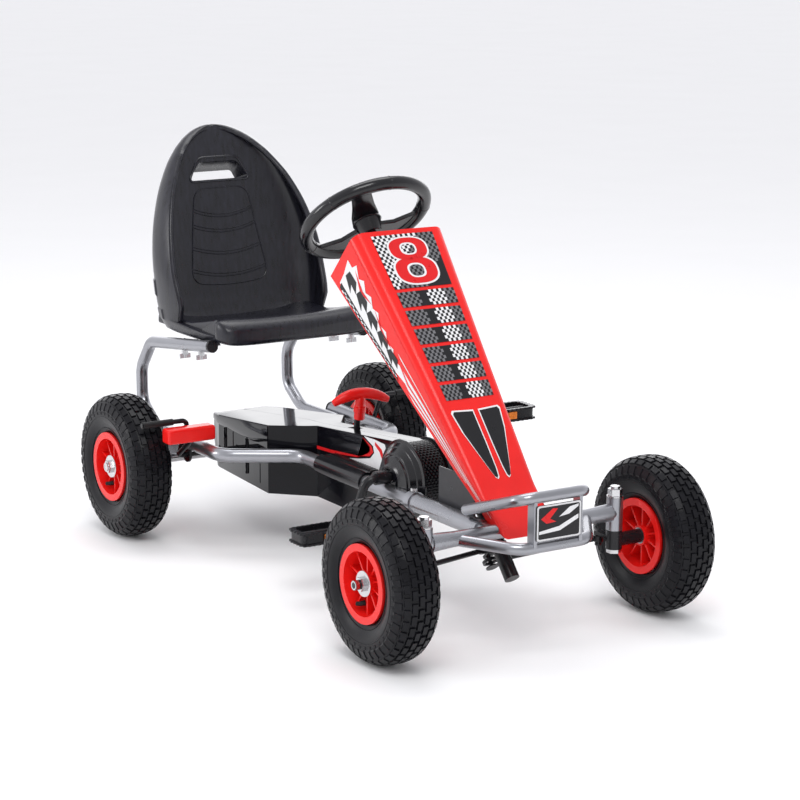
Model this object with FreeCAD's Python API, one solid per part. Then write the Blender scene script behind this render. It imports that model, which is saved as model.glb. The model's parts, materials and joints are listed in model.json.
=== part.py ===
import FreeCAD, Part
import os
from math import acos, atan2, cos, degrees, hypot, pi, radians, sin, tan

# Pedal go kart. Millimetres. +Z up, +X to the driver's left, the kart drives towards -Y.
# The origin is on the ground, in the middle of the overall length and width.

V = FreeCAD.Vector
X, Y, Z = V(1, 0, 0), V(0, 1, 0), V(0, 0, 1)
GAP = 0.4            # clear space between neighbouring bodies
FIT = 0.05           # radial clearance of a running fit

# Wheels and axles
TYRE_R, TYRE_W = 135.3, 85.0
HUB_R, HUB_HALF = 19.0, 30.0
BEARING_R, BEARING_W = 14.0, 9.0
AXLE_R, AXLE_END = 8.0, 324.0
FRONT_Y, FRONT_X = -471.2, 274.8
REAR_Y, REAR_X = 426.0, 282.6
RIB_COUNT = 10

# Frame tubes
RAIL_R, RAIL_WALL, RAIL_Z = 13.0, 1.8, 184.2
RAIL_X_FRONT, RAIL_X_REAR = 62.1, 189.4
RAIL_BEND_A, RAIL_BEND_B = 140.9, 220.6
RAIL_END = 452.0
SLEEVE_R, SLEEVE_FRONT, SLEEVE_REAR = 16.0, -446.0, -232.0
KINGPIN_X, KINGPIN_R = 191.5, 8.0
HOUSING_R, HOUSING_LOW, HOUSING_HIGH = 14.0, 154.0, 211.0
BUMPER_R = 10.0
SEAT_TUBE_X, SEAT_TUBE_R = 164.0, 11.5

# Steering
COLUMN_FOOT = V(0, -447, 90)
WHEEL_CENTRE = V(0, 21.9, 635.5)
COLUMN_AXIS = (WHEEL_CENTRE - COLUMN_FOOT).normalize()
ARM_DIR = X.cross(COLUMN_AXIS) * -1
COLUMN_R, SUPPORT_R = 9.0, 15.0
STEER_RIM_R, STEER_TUBE_R = 111.3, 12.4
STEER_ROLL = -30.0
DROP_ARM = 40.0
DROP_ARM_AT = 63.3
KNUCKLE_ARM = 44.3
BALL_Z = 128.0

# Drive
CRANK_X, CRANK_Y, CRANK_Z = -10.0, -156.0, 210.0
CRANK_R, CRANK_ARM, CRANK_ANGLE = 104.0, 101.0, -67.9
CRANK_BAR_R, CRANK_SLEEVE_R = 8.0, 12.0
SPINDLE_R, PEDAL_IN, PEDAL_OUT = 6.0, 123.0, 217.0
PEDAL_DEEP, PEDAL_TALL = 56.0, 23.0
PITCH = 12.7
RING_TEETH, SPROCKET_TEETH = 22, 11
CHAIN_X, CHAIN_W = -8.0, 6.0
CASE_RIGHT, CASE_LEFT = -31.0, 20.0
BOX_RIGHT, BOX_LEFT = -98.0, 66.0
CASE_LOW, CASE_WALL = 103.5, 3.0
CASE_KINK = V(0, 155, 236.4)
CASE_BACK = V(0, 205, 233.5)
DRUM_Y, DRUM_Z, DRUM_R = -160.0, 200.0, 66.0

# Gear lever
LEVER_X, LEVER_Y, LEVER_Z = 4.0, 60.0, 214.0

# Hood
HOOD_WALL = 3.0

# Hand brake
BRAKE_Y, BRAKE_Z = 345.0, 160.0
BRAKE_ROD_R, BRAKE_ARM_X = 4.5, 212.0
BRAKE_BAR_Y, BRAKE_BAR_Z = 305.0, 237.0
BRAKE_LEVER_R = 5.5
BRAKE_LEVER_FOOT, BRAKE_LEVER_TOP = V(-212, 342, 165), V(-212, 284, 206)

# Seat, on a base that leans back with the seat tubes
SEAT_TILT = radians(7.4)
SEAT_FRONT_Y, SEAT_FRONT_Z = 300.0, 372.0
SEAT_BOLT_Y = (342.0, 408.0)
SEAT_TRAVEL = 30.0


def save(name, *shapes):
    """Write one node; several separate solids make one compound."""
    solids = [solid for shape in shapes for solid in shape.Solids]
    shape = solids[0] if len(solids) == 1 else Part.makeCompound(solids)
    shape.exportStep("parts/%s.step" % name)
    print("%-24s solids %2d valid %s volume %.1f cm3" % (
        name, len(solids), shape.isValid(), shape.Volume / 1000))


def rod(radius, start, end):
    """Solid round bar between two points."""
    return Part.makeCylinder(radius, (end - start).Length, start, end - start)


def ring(outer, inner, start, end):
    """Hollow round bar between two points."""
    reach = (end - start).normalize()
    return rod(outer, start, end).cut(rod(inner, start - reach, end + reach))


def box(x0, x1, y0, y1, z0, z1):
    return Part.makeBox(x1 - x0, y1 - y0, z1 - z0, V(x0, y0, z0))


def hexagon(across, start, end):
    """Hexagonal nut or bolt head between two points."""
    axis = (end - start).normalize()
    side = axis.cross(Z if abs(axis.z) < 0.9 else X).normalize()
    up = axis.cross(side)
    reach = across / 2 / cos(pi / 6)
    points = [start + side * reach * cos(n * pi / 3) + up * reach * sin(n * pi / 3) for n in range(7)]
    return Part.Face(Part.makePolygon(points)).extrude(end - start)


def mirrored(shape):
    return shape.mirror(V(0, 0, 0), X)


def path(points, bend):
    """Straight runs joined by tangent arcs; bend is one radius or one per inner point."""
    bends = bend if isinstance(bend, list) else [bend] * (len(points) - 2)
    edges, start = [], points[0]
    for before, corner, after, radius in zip(points, points[1:], points[2:], bends):
        away, onward = (before - corner).normalize(), (after - corner).normalize()
        half = acos(max(-1, min(1, away.dot(onward)))) / 2
        reach = radius / tan(half)
        middle = (away + onward).normalize() * (radius / sin(half) - radius)
        first, last = corner + away * reach, corner + onward * reach
        if (first - start).Length > 1e-3:
            edges.append(Part.LineSegment(start, first).toShape())
        edges.append(Part.Arc(first, corner + middle, last).toShape())
        start = last
    edges.append(Part.LineSegment(start, points[-1]).toShape())
    return Part.Wire(edges)


def swept(points, bend, radius, wall=0):
    """Round tube, hollow when it has a wall, along a path."""
    line = path(points, bend)
    way = points[1] - points[0]
    disc = Part.Wire([Part.makeCircle(radius, points[0], way)])
    shape = line.makePipeShell([disc], True, False)
    if wall:
        bore = Part.Wire([Part.makeCircle(radius - wall, points[0], way)])
        shape = shape.cut(line.makePipeShell([bore], True, False))
    return shape


def outline(points, closed=True):
    """Wire of straight lines; a point given as a pair is an arc's middle and its end."""
    edges, start = [], points[0]
    for item in points[1:] + ([points[0]] if closed else []):
        if isinstance(item, tuple):
            edges.append(Part.Arc(start, item[0], item[1]).toShape())
            start = item[1]
        elif (item - start).Length > 1e-6:
            edges.append(Part.LineSegment(start, item).toShape())
            start = item
    return Part.Wire(edges)


def revolved(profile, x=0.0, y=0.0, z=0.0):
    """Turn a closed (along, radius) profile about a line parallel to X."""
    points = [V(x + along, y, z + radius) for along, radius in profile]
    face = Part.Face(Part.makePolygon(points + points[:1]))
    return face.revolve(V(x, y, z), X, 360)


def centred(shape, x, y, z):
    shape.translate(V(x, y, z))
    return shape


# Wheels ---------------------------------------------------------------------

def tyre(x, y):
    """Hollow pneumatic tyre: round shoulders, bulging sidewalls and thin beads."""
    def at(along, radius):
        return V(along, 0, radius)
    profile = [
        at(-27, 65.5), at(-31, 73),
        (at(-42.5, 98), at(-37.5, 119)), (at(-31, 129.5), at(-20, 133.8)), (at(0, TYRE_R), at(20, 133.8)),
        (at(31, 129.5), at(37.5, 119)), (at(42.5, 98), at(31, 73)),
        at(27, 65.5), at(21, 65.5), at(24, 77),
        (at(35.5, 98), at(30, 115)), (at(0, 127), at(-30, 115)), (at(-35.5, 98), at(-24, 77)),
        at(-21, 65.5)]
    return centred(Part.Face(outline(profile)).revolve(V(0, 0, 0), X, 360), x, y, TYRE_R)


def rim(x, y, bearings=True):
    """Moulded rim: drop-centre barrel, thin web, hub and radial ribs on both faces."""
    seat = BEARING_R + 0.02
    bore = 10.0 if bearings else AXLE_R + 0.02
    step = HUB_HALF - BEARING_W
    half = [(HUB_HALF, seat), (step, seat), (step, bore)] if bearings else [(HUB_HALF, bore)]
    right = [(36, 53), (4.5, 49), (2.5, HUB_R), (HUB_HALF, HUB_R - 1.5)] + half
    left = [(-along, radius) for along, radius in reversed(right)]
    barrel = [(-36, 65.2), (-31, 65.2), (-27, 58), (27, 58), (31, 65.2), (36, 65.2)]
    shape = revolved(barrel + right + left)
    reach = box(-24, 24, -1.5, 1.5, HUB_R - 2, 52)
    ribs = [reach.rotated(V(0, 0, 0), X, n * 360 / RIB_COUNT) for n in range(RIB_COUNT)]
    return centred(shape.multiFuse(ribs).removeSplitter(), x, y, TYRE_R)


def wheel_bearings(x, y):
    return [ring(BEARING_R, AXLE_R + FIT, V(x + side * HUB_HALF, y, TYRE_R),
                 V(x + side * (HUB_HALF - BEARING_W), y, TYRE_R)) for side in (-1, 1)]


def axle_nut(side, x, y):
    """Washer, nylon-ring nut and its collar on the outer end of an axle."""
    face = x + HUB_HALF + 0.3
    washer = ring(16, AXLE_R + 0.02, V(side * face, y, TYRE_R), V(side * (face + 2), y, TYRE_R))
    nut = hexagon(21, V(side * (face + 2), y, TYRE_R), V(side * (face + 9), y, TYRE_R))
    return [washer, nut.cut(rod(AXLE_R + 0.02, V(side * face, y, TYRE_R), V(side * 330, y, TYRE_R)))]


def make_wheels():
    places = {"front_right": (-FRONT_X, FRONT_Y), "front_left": (FRONT_X, FRONT_Y),
              "rear_right": (-REAR_X, REAR_Y), "rear_left": (REAR_X, REAR_Y)}
    for name, (x, y) in places.items():
        free = name != "rear_right"
        save("tyre_" + name, tyre(x, y))
        save("rim_" + name, rim(x, y, free))
        if free:
            save("wheel_bearings_" + name, *wheel_bearings(x, y))


# Frame ----------------------------------------------------------------------

BEAM = rod(RAIL_R + FIT, V(-170, FRONT_Y, RAIL_Z), V(170, FRONT_Y, RAIL_Z))


def main_rail():
    """Left rail: straight beside the case, kinked outwards, straight to the rear bracket."""
    points = [V(RAIL_X_FRONT, FRONT_Y + 3, RAIL_Z), V(RAIL_X_FRONT, RAIL_BEND_A, RAIL_Z),
              V(RAIL_X_REAR, RAIL_BEND_B, RAIL_Z), V(RAIL_X_REAR, RAIL_END, RAIL_Z)]
    return swept(points, 45, RAIL_R, RAIL_WALL).cut(BEAM)


def rail_sleeve():
    """Thicker sleeve that the front of the left rail telescopes in, with a clamp collar."""
    low, high = V(RAIL_X_FRONT, SLEEVE_FRONT, RAIL_Z), V(RAIL_X_FRONT, SLEEVE_REAR, RAIL_Z)
    tube = ring(SLEEVE_R, RAIL_R + FIT, low, high)
    collar = ring(SLEEVE_R + 2.5, SLEEVE_R, high - Y * 16, high)
    return tube.fuse(collar).cut(rod(RAIL_R + 8, low - Y * 30, low))


def front_axle_beam():
    """Cross beam welded to the two kingpin housings."""
    tube = rod(RAIL_R, V(-KINGPIN_X, FRONT_Y, RAIL_Z), V(KINGPIN_X, FRONT_Y, RAIL_Z))
    bore = rod(RAIL_R - 2.5, V(-165, FRONT_Y, RAIL_Z), V(165, FRONT_Y, RAIL_Z))
    parts, holes = [], []
    for side in (-1, 1):
        x = side * KINGPIN_X
        flare = Part.makeCone(RAIL_R, HOUSING_R + 1.5, 45, V(side * 135, FRONT_Y, RAIL_Z), X * side)
        parts += [flare, rod(HOUSING_R, V(x, FRONT_Y, HOUSING_LOW), V(x, FRONT_Y, HOUSING_HIGH))]
        holes.append(rod(KINGPIN_R + FIT, V(x, FRONT_Y, 100), V(x, FRONT_Y, 260)))
    return tube.multiFuse(parts).cut(bore).cut(Part.makeCompound(holes))


def bumper_loop(corners, bend, radius, wall=0):
    """Tube loop, the same on both sides, from its left half's corners."""
    return swept(corners + [V(-p.x, p.y, p.z) for p in reversed(corners)], bend, radius, wall)


LOWER_LOOP = [V(129.4, FRONT_Y, RAIL_Z - 2), V(67, -562.9, 178)]
UPPER_LOOP = [V(71, -412, 210.6), V(66, -566, 261.9)]
UPPER_R = 9.5


def bumper_lower():
    """Low loop in front of the beam and two uprights that carry the plate."""
    shape = bumper_loop(LOWER_LOOP, 38, BUMPER_R, 1.8).cut(BEAM)
    uprights = [box(x - 3, x + 3, -573, -555, 180, 262) for x in (-45, 45)]
    tubes = [bumper_loop(LOWER_LOOP, 38, BUMPER_R + 0.02), bumper_loop(UPPER_LOOP, 26, UPPER_R + 0.02)]
    return [shape] + [bar.cut(tubes[0]).cut(tubes[1]) for bar in uprights]


def bumper_upper():
    return bumper_loop(UPPER_LOOP, 26, UPPER_R, 1.8)


def number_plate():
    plate = box(-44.5, 44.5, -574.5, -573.02, 190, 250)
    upright = [edge for edge in plate.Edges if abs(edge.tangentAt(0).y) > 0.9]
    return plate.makeFillet(5, upright)


def rear_bracket():
    """Left plate that hangs the rear axle below the rail."""
    x0 = RAIL_X_REAR + RAIL_R + 0.02
    lobe = rod(26, V(x0, REAR_Y, TYRE_R), V(x0 + 4, REAR_Y, TYRE_R))
    arm = box(x0, x0 + 4, REAR_Y - 26, REAR_Y + 26, TYRE_R, 193)
    gusset = box(x0 - 26, x0, REAR_Y - 26, REAR_Y - 22, 150, RAIL_Z - RAIL_R + 1)
    rail = rod(RAIL_R + 0.02, V(RAIL_X_REAR, 390, RAIL_Z), V(RAIL_X_REAR, 470, RAIL_Z))
    hole = rod(17, V(x0 - 40, REAR_Y, TYRE_R), V(x0 + 20, REAR_Y, TYRE_R))
    return arm.multiFuse([lobe, gusset]).cut(rail).cut(hole)


def bearing_housing():
    x0 = RAIL_X_REAR + RAIL_R - 8
    at = [V(x, REAR_Y, TYRE_R) for x in (x0, x0 + 12.3, x0 + 21)]
    shape = rod(16.9, at[0], at[1]).fuse(rod(22, at[1], at[2]))
    return shape.cut(rod(BEARING_R + 0.02, at[0] - X, at[2] + X))


def seat_tube():
    """Left hoop: front end under the seat, round the back and forward beside the rail."""
    x = SEAT_TUBE_X
    slope = tan(SEAT_TILT)
    points = [V(x, SEAT_FRONT_Y, SEAT_FRONT_Z), V(x, 545, SEAT_FRONT_Z - 245 * slope),
              V(x, 590, 282), V(x, 588, 214), V(x, 530, 175), V(x, 392, 176.5)]
    shape = swept(points, [32, 50, 36, 70], SEAT_TUBE_R, 1.6)
    slots = [box(x - 3.6, x + 3.6, y - SEAT_TRAVEL - 6, y + 7, 300, 400) for y in SEAT_BOLT_Y]
    return shape.cut(Part.makeCompound(slots))


def tube_caps():
    """Round plugs in the open ends of the seat tubes and of the rails."""
    caps = []
    way = V(0, cos(SEAT_TILT), -sin(SEAT_TILT))
    front = V(SEAT_TUBE_X, SEAT_FRONT_Y, SEAT_FRONT_Z)
    caps.append(rod(SEAT_TUBE_R, front - way * 6, front).fuse(rod(9.7, front, front + way * 4)))
    end = V(RAIL_X_REAR, RAIL_END, RAIL_Z)
    caps.append(rod(RAIL_R + 0.8, end, end + Y * 4).fuse(rod(RAIL_R - RAIL_WALL - 0.1, end - Y * 12, end)))
    return caps + [mirrored(cap) for cap in caps]


def rail_cover(side, face):
    """Moulded cover over one rail with a ribbed step that reaches the case."""
    y0, y1 = -85.0, 70.0
    x = side * RAIL_X_FRONT
    tube = rod(SLEEVE_R + 1.5, V(x, y0, RAIL_Z), V(x, y1, RAIL_Z))
    low, high = sorted((face + side, x))
    step = box(low, high, y0, y1, 195, 201)
    low, high = sorted((face + side * 4, x - side * 12))
    ribs = [box(low, high, y, y + 3.5, 201, 203) for y in range(-80, 64, 8)]
    shape = tube.fuse(step).multiFuse(ribs)
    return shape.cut(rod(RAIL_R + FIT, V(x, -120, RAIL_Z), V(x, 120, RAIL_Z)))


def steering_support():
    """Outer steering tube and the folded bracket that carries it on the rails."""
    low, high = COLUMN_FOOT + COLUMN_AXIS * 84, COLUMN_FOOT + COLUMN_AXIS * 620
    tube = rod(SUPPORT_R, low, high)
    inside = rod(COLUMN_R + 3.0, low - COLUMN_AXIS * 5, high + COLUMN_AXIS * 5)
    sides = [box(x, x + 3, -408, -300, 190, 259) for x in (-51.5, 48.5)]
    web = box(-49, 49, -345, -341, 205, 259)
    front = box(-49, 49, -380, -376, 200, 232)
    rails = [rod(SLEEVE_R + 0.02, V(x, -460, RAIL_Z), V(x, -200, RAIL_Z)) for x in (-RAIL_X_FRONT, RAIL_X_FRONT)]
    return tube.multiFuse(sides + [web, front]).cut(Part.makeCompound(rails)).cut(inside)


def steering_bushes():
    shapes = []
    for at in (86, 600):
        low = COLUMN_FOOT + COLUMN_AXIS * at
        shapes.append(ring(COLUMN_R + 2.95, COLUMN_R + FIT, low, low + COLUMN_AXIS * 18))
    return shapes


def hood_section(front, rear, half, corner, wall):
    """Closed U-shaped wire across the hood, from one rear edge round the front to the other."""
    way = (rear - front).normalize()
    depth = (rear - front).Length

    def point(x, v):
        return front + way * v + X * x

    def arm(w, r, v, side):
        middle = point(side * (w - r + r * sin(pi / 4)), v + r - r * cos(pi / 4))
        return point(side * w, v + r), middle, point(side * (w - r), v)
    outer_r, outer_rm, outer_rf = arm(half, corner, 0, -1)
    outer_l, outer_lm, outer_lf = arm(half, corner, 0, 1)
    inner_r, inner_rm, inner_rf = arm(half - wall, corner - wall * 0.6, wall, -1)
    inner_l, inner_lm, inner_lf = arm(half - wall, corner - wall * 0.6, wall, 1)
    return outline([
        point(-half, depth), outer_r, (outer_rm, outer_rf), outer_lf, (outer_lm, outer_l), point(half, depth),
        point(half - wall, depth), inner_l, (inner_lm, inner_lf), inner_rf, (inner_rm, inner_r),
        point(wall - half, depth)])


def hood():
    """Tapering shell over the steering column, open at the back, top and bottom."""
    sections = [
        hood_section(V(0, -89.9, 629.3), V(0, -13.3, 544.4), 93, 21, HOOD_WALL),
        hood_section(V(0, -432.5, 240), V(0, -356, 262.9), 57, 12, HOOD_WALL),
        hood_section(V(0, -470, 207), V(0, -413.8, 223.6), 54, 9, HOOD_WALL),
        hood_section(V(0, -503, 178), V(0, -447, 193.5), 52, 6, HOOD_WALL)]
    shape = Part.makeLoft(sections, True, True)
    tools = [rod(RAIL_R + 2, V(-90, FRONT_Y, RAIL_Z), V(90, FRONT_Y, RAIL_Z))]
    tools += [rod(SLEEVE_R + 1, V(x, -475, RAIL_Z), V(x, -400, RAIL_Z)) for x in (-RAIL_X_FRONT, RAIL_X_FRONT)]
    return shape.cut(Part.makeCompound(tools))


def brake_bracket():
    """Left lug below the rail that the brake shaft turns in."""
    x = RAIL_X_REAR + 1
    lug = box(x, x + 5, BRAKE_Y - 14, BRAKE_Y + 14, BRAKE_Z, RAIL_Z - 8)
    lug = lug.fuse(rod(14, V(x, BRAKE_Y, BRAKE_Z), V(x + 5, BRAKE_Y, BRAKE_Z)))
    hole = rod(BRAKE_ROD_R + FIT, V(x - 5, BRAKE_Y, BRAKE_Z), V(x + 9, BRAKE_Y, BRAKE_Z))
    return lug.cut(hole).cut(rod(RAIL_R + 0.02, V(RAIL_X_REAR, 300, RAIL_Z), V(RAIL_X_REAR, 400, RAIL_Z)))


def frame_fasteners():
    """Bolt heads on the rear brackets and the sleeve clamps."""
    heads = []
    x0 = RAIL_X_REAR + RAIL_R + 4.1
    for y in (REAR_Y - 17, REAR_Y + 17):
        heads.append(hexagon(10, V(x0, y, 172), V(x0 + 5, y, 172)))
    heads.append(hexagon(10, V(RAIL_X_FRONT, SLEEVE_REAR - 8, RAIL_Z + SLEEVE_R + 2.6),
                         V(RAIL_X_FRONT, SLEEVE_REAR - 8, RAIL_Z + SLEEVE_R + 8)))
    return heads + [mirrored(head) for head in heads]


def make_frame():
    rail = main_rail()
    save("main_rail_left", rail)
    save("main_rail_right", mirrored(rail))
    save("rail_sleeves", rail_sleeve(), mirrored(rail_sleeve()))
    save("front_axle_beam", front_axle_beam())
    save("bumper_lower", *bumper_lower())
    save("bumper_upper", bumper_upper())
    save("number_plate", number_plate())
    save("rear_brackets", rear_bracket(), mirrored(rear_bracket()))
    save("bearing_housings", bearing_housing(), mirrored(bearing_housing()))
    save("seat_tube_left", seat_tube())
    save("seat_tube_right", mirrored(seat_tube()))
    save("tube_caps", *tube_caps())
    save("rail_covers", rail_cover(-1, CASE_RIGHT), rail_cover(1, CASE_LEFT))
    save("steering_support", steering_support())
    save("steering_bushes", *steering_bushes())
    save("hood", hood())
    save("brake_brackets", brake_bracket(), mirrored(brake_bracket()))
    save("frame_fasteners", *frame_fasteners())


# Drive ----------------------------------------------------------------------

def pitch_radius(teeth):
    return PITCH / 2 / sin(pi / teeth)


def side_profile(inset):
    """Side view of the chain case: round front drum, a top that slopes off it, low tail."""
    low, end, radius = CASE_LOW + inset, 478.0 - inset, DRUM_R - inset
    across, rise = CASE_KINK.y - DRUM_Y, CASE_KINK.z - inset - DRUM_Z
    slope = atan2(rise, across) + acos(radius / hypot(across, rise))
    drop = radians(-62)
    start = V(0, DRUM_Y + radius * cos(slope), DRUM_Z + radius * sin(slope))
    finish = V(0, DRUM_Y + radius * cos(drop), DRUM_Z + radius * sin(drop))
    down = Z * inset
    return outline([
        start, (V(0, DRUM_Y - radius, DRUM_Z), finish), V(0, 40, low), V(0, 445, low), V(0, end, 150),
        V(0, end, 186), (V(0, end - 5, 199), V(0, end - 18, 204)), CASE_BACK - down, CASE_KINK - down])


def plan_profile(inset):
    """Plan view of the chain case: narrow beside the rails, a wide box behind."""
    right, left = CASE_RIGHT + inset, CASE_LEFT - inset
    wide_right, wide_left = BOX_RIGHT + inset, BOX_LEFT - inset
    end, front = 480.0, -260.0
    return outline([
        V(right, front, 0), V(right, 138 + inset / 2, 0), V(wide_right, 204 + inset / 2, 0),
        V(wide_right + 18, 430, 0), V(wide_right + 34, end - inset, 0),
        V(wide_left - 26, end - inset, 0), V(wide_left - 12, 430, 0),
        V(wide_left, 204 + inset / 2, 0), V(left, 138 + inset / 2, 0), V(left, front, 0)])


def case_body(inset):
    side = Part.Face(side_profile(inset)).extrude(X * 240)
    side.translate(V(-120, 0, 0))
    plan = Part.Face(plan_profile(inset)).extrude(Z * 300)
    return side.common(plan)


def drum_boss(side, face, steps):
    """Flange and stepped cone on one face of the drum."""
    points = [(0, 0)] + steps + [(steps[-1][0], 0)]
    return revolved([(side * along, radius) for along, radius in points], face, DRUM_Y, DRUM_Z)


def chain_case():
    """Hollow two-piece case, split along the chain line."""
    right_steps = [(0, 72), (3, 72), (4, 66), (20, 50), (21, 46), (24, 45), (27, 34), (28, 31), (30, 27)]
    left_steps = [(0, 70), (3, 70), (5, 62), (12, 46), (14, 30), (18, 27)]
    bosses = [drum_boss(-1, CASE_RIGHT, right_steps), drum_boss(1, CASE_LEFT, left_steps)]
    shell = case_body(0).multiFuse(bosses).cut(case_body(CASE_WALL))
    centre = V(0, CRANK_Y, CRANK_Z)
    axle = V(0, REAR_Y, TYRE_R)
    holes = [
        rod(BEARING_R + 0.02, centre - X * 90, centre + X * 90),
        rod(12, axle - X * 150, axle + X * 150),
        box(-150, 150, REAR_Y - 12, REAR_Y + 12, 90, TYRE_R),
        rod(BRAKE_ROD_R + 2, V(-150, BRAKE_Y, BRAKE_Z), V(150, BRAKE_Y, BRAKE_Z)),
        box(LEVER_X - 8, LEVER_X + 8, LEVER_Y - 15, LEVER_Y + 15, LEVER_Z + 20, LEVER_Z + 45)]
    holes += [rod(RAIL_R + GAP, V(x, -300, RAIL_Z), V(x, 130, RAIL_Z)) for x in (-RAIL_X_FRONT, RAIL_X_FRONT)]
    for hole in holes:
        shell = shell.cut(hole)
    right = shell.common(box(-150, CHAIN_X - 0.05, -300, 500, 0, 400))
    left = shell.common(box(CHAIN_X + 0.05, 150, -300, 500, 0, 400))
    return right, left


def chain_loop():
    """The chain as one closed band round both sprockets."""
    front, rear = pitch_radius(RING_TEETH), pitch_radius(SPROCKET_TEETH)
    run = hypot(REAR_Y - CRANK_Y, TYRE_R - CRANK_Z)
    slope = atan2(TYRE_R - CRANK_Z, REAR_Y - CRANK_Y)
    wrap = acos((front - rear) / run)

    def loop(grow):
        def at(cy, cz, radius, angle):
            return V(CHAIN_X, cy + radius * cos(slope + angle), cz + radius * sin(slope + angle))
        big, small = front + grow, rear + grow
        return outline([
            at(CRANK_Y, CRANK_Z, big, wrap), (at(CRANK_Y, CRANK_Z, big, pi), at(CRANK_Y, CRANK_Z, big, -wrap)),
            at(REAR_Y, TYRE_R, small, -wrap), (at(REAR_Y, TYRE_R, small, 0), at(REAR_Y, TYRE_R, small, wrap))])
    band = Part.Face(loop(4)).extrude(X * CHAIN_W).cut(Part.Face(loop(-3.6)).extrude(X * CHAIN_W))
    band.translate(V(-CHAIN_W / 2, 0, 0))
    return band


def toothed_disc(teeth, y, z, bore, phase=0.0):
    """Sprocket whose teeth reach just short of the chain band."""
    tip = pitch_radius(teeth) - 4.2
    points = []
    for n in range(teeth):
        for part, radius in ((0, tip), (0.34, tip), (0.5, tip - 3), (0.84, tip - 3)):
            angle = 2 * pi * (n + part + phase) / teeth
            points.append(V(CHAIN_X - 1.5, y + radius * cos(angle), z + radius * sin(angle)))
    disc = Part.Face(Part.makePolygon(points + points[:1])).extrude(X * 3)
    hub = rod(bore + 6, V(CHAIN_X - 7, y, z), V(CHAIN_X + 7, y, z))
    return disc.fuse(hub).cut(rod(bore + 0.02, V(CHAIN_X - 10, y, z), V(CHAIN_X + 10, y, z)))


def frame_bearings():
    """Bearings of the crank, in the case, and of the rear axle, in its housings."""
    centre = V(0, CRANK_Y, CRANK_Z)
    rings = [ring(BEARING_R, CRANK_BAR_R + FIT, centre + X * x, centre + X * (x + BEARING_W))
             for x in (CASE_RIGHT - 23, CASE_LEFT + 8)]
    for side in (-1, 1):
        start = V(side * (RAIL_X_REAR + 16), REAR_Y, TYRE_R)
        rings.append(ring(BEARING_R, AXLE_R + FIT, start, start + X * side * BEARING_W))
    return rings


def pedal_point(side):
    """Centre line of a pedal spindle: right hand side low, left hand side high."""
    angle = radians(CRANK_ANGLE)
    return V(CRANK_X, CRANK_Y - side * CRANK_R * cos(angle), CRANK_Z - side * CRANK_R * sin(angle))


def crank():
    """One bent bar: two arms and the axle between them, with a spindle at each end."""
    low, high, middle = pedal_point(-1), pedal_point(1), V(CRANK_X, CRANK_Y, CRANK_Z)
    points = [low - X * (PEDAL_IN - 1), low - X * CRANK_ARM, middle - X * (CRANK_ARM - 4),
              middle + X * (CRANK_ARM - 4), high + X * CRANK_ARM, high + X * (PEDAL_IN - 1)]
    bar = swept(points, [11, 20, 20, 11], CRANK_BAR_R)
    ends = [rod(CRANK_SLEEVE_R, V(CASE_RIGHT - 31, CRANK_Y, CRANK_Z), middle - X * (CRANK_ARM - 22))]
    for side, at in ((-1, low), (1, high)):
        ends.append(rod(SPINDLE_R, at + X * side * (PEDAL_IN - 1.5), at + X * side * (PEDAL_OUT - 6)))
    return bar.multiFuse(ends)


def pedal(side):
    """Pedal body: a hub tube, two end plates and serrated bars front and back."""
    at = pedal_point(side)
    x0, x1 = sorted((at.x + side * PEDAL_IN, at.x + side * PEDAL_OUT))
    half_y, half_z = PEDAL_DEEP / 2, PEDAL_TALL / 2
    shape = rod(10.5, V(x0 + 0.5, at.y, at.z), V(x1 - 0.5, at.y, at.z))
    plates = [box(x, x + 7, at.y - half_y, at.y + half_y, at.z - half_z, at.z + half_z) for x in (x0, x1 - 7)]
    bars = []
    for y in (at.y - half_y, at.y + half_y - 9):
        bars.append(box(x0, x1, y, y + 9, at.z - half_z + 2, at.z + half_z - 2))
        teeth = [x0 + 4 + n * 9 for n in range(10)]
        bars += [box(x, x + 4, y, y + 9, at.z - half_z, at.z + half_z) for x in teeth]
    web = box(x0, x1, at.y - half_y + 4, at.y + half_y - 4, at.z - 3, at.z + 3)
    shape = shape.multiFuse(plates + bars + [web])
    bore = rod(SPINDLE_R + FIT, at + X * side * (PEDAL_IN - 5), at + X * side * (PEDAL_OUT - 5))
    return shape.cut(bore).cut(Part.makeCompound(reflectors(side)))


def reflectors(side):
    """Orange reflectors let into the front and the back of one pedal."""
    at = pedal_point(side)
    centre = at.x + side * (PEDAL_IN + 30)
    half_y = PEDAL_DEEP / 2
    return [box(centre - 19, centre + 19, y, y + 3, at.z - 6, at.z + 6)
            for y in (at.y - half_y - 0.6, at.y + half_y - 2.4)]


def rear_axle():
    shaft = rod(AXLE_R, V(-AXLE_END, REAR_Y, TYRE_R), V(AXLE_END, REAR_Y, TYRE_R))
    x0, x1 = RAIL_X_REAR + RAIL_R + 13.6, REAR_X - HUB_HALF - 0.4
    collars = [rod(12, V(side * x0, REAR_Y, TYRE_R), V(side * x1, REAR_Y, TYRE_R)) for side in (-1, 1)]
    return shaft.multiFuse(collars)


def gear_lever():
    """Lever bar with a pivot eye inside the case."""
    foot = V(LEVER_X, LEVER_Y, LEVER_Z)
    top = V(LEVER_X - 2, LEVER_Y - 14, 296)
    eye = rod(9, foot - X * 5, foot + X * 5)
    return rod(6, foot, top).fuse(eye).cut(rod(4 + FIT, foot - X * 9, foot + X * 9))


def lever_pivot():
    foot = V(LEVER_X, LEVER_Y, LEVER_Z)
    return rod(4, foot - X * 6.5, V(CASE_LEFT - CASE_WALL, LEVER_Y, LEVER_Z))


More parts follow.
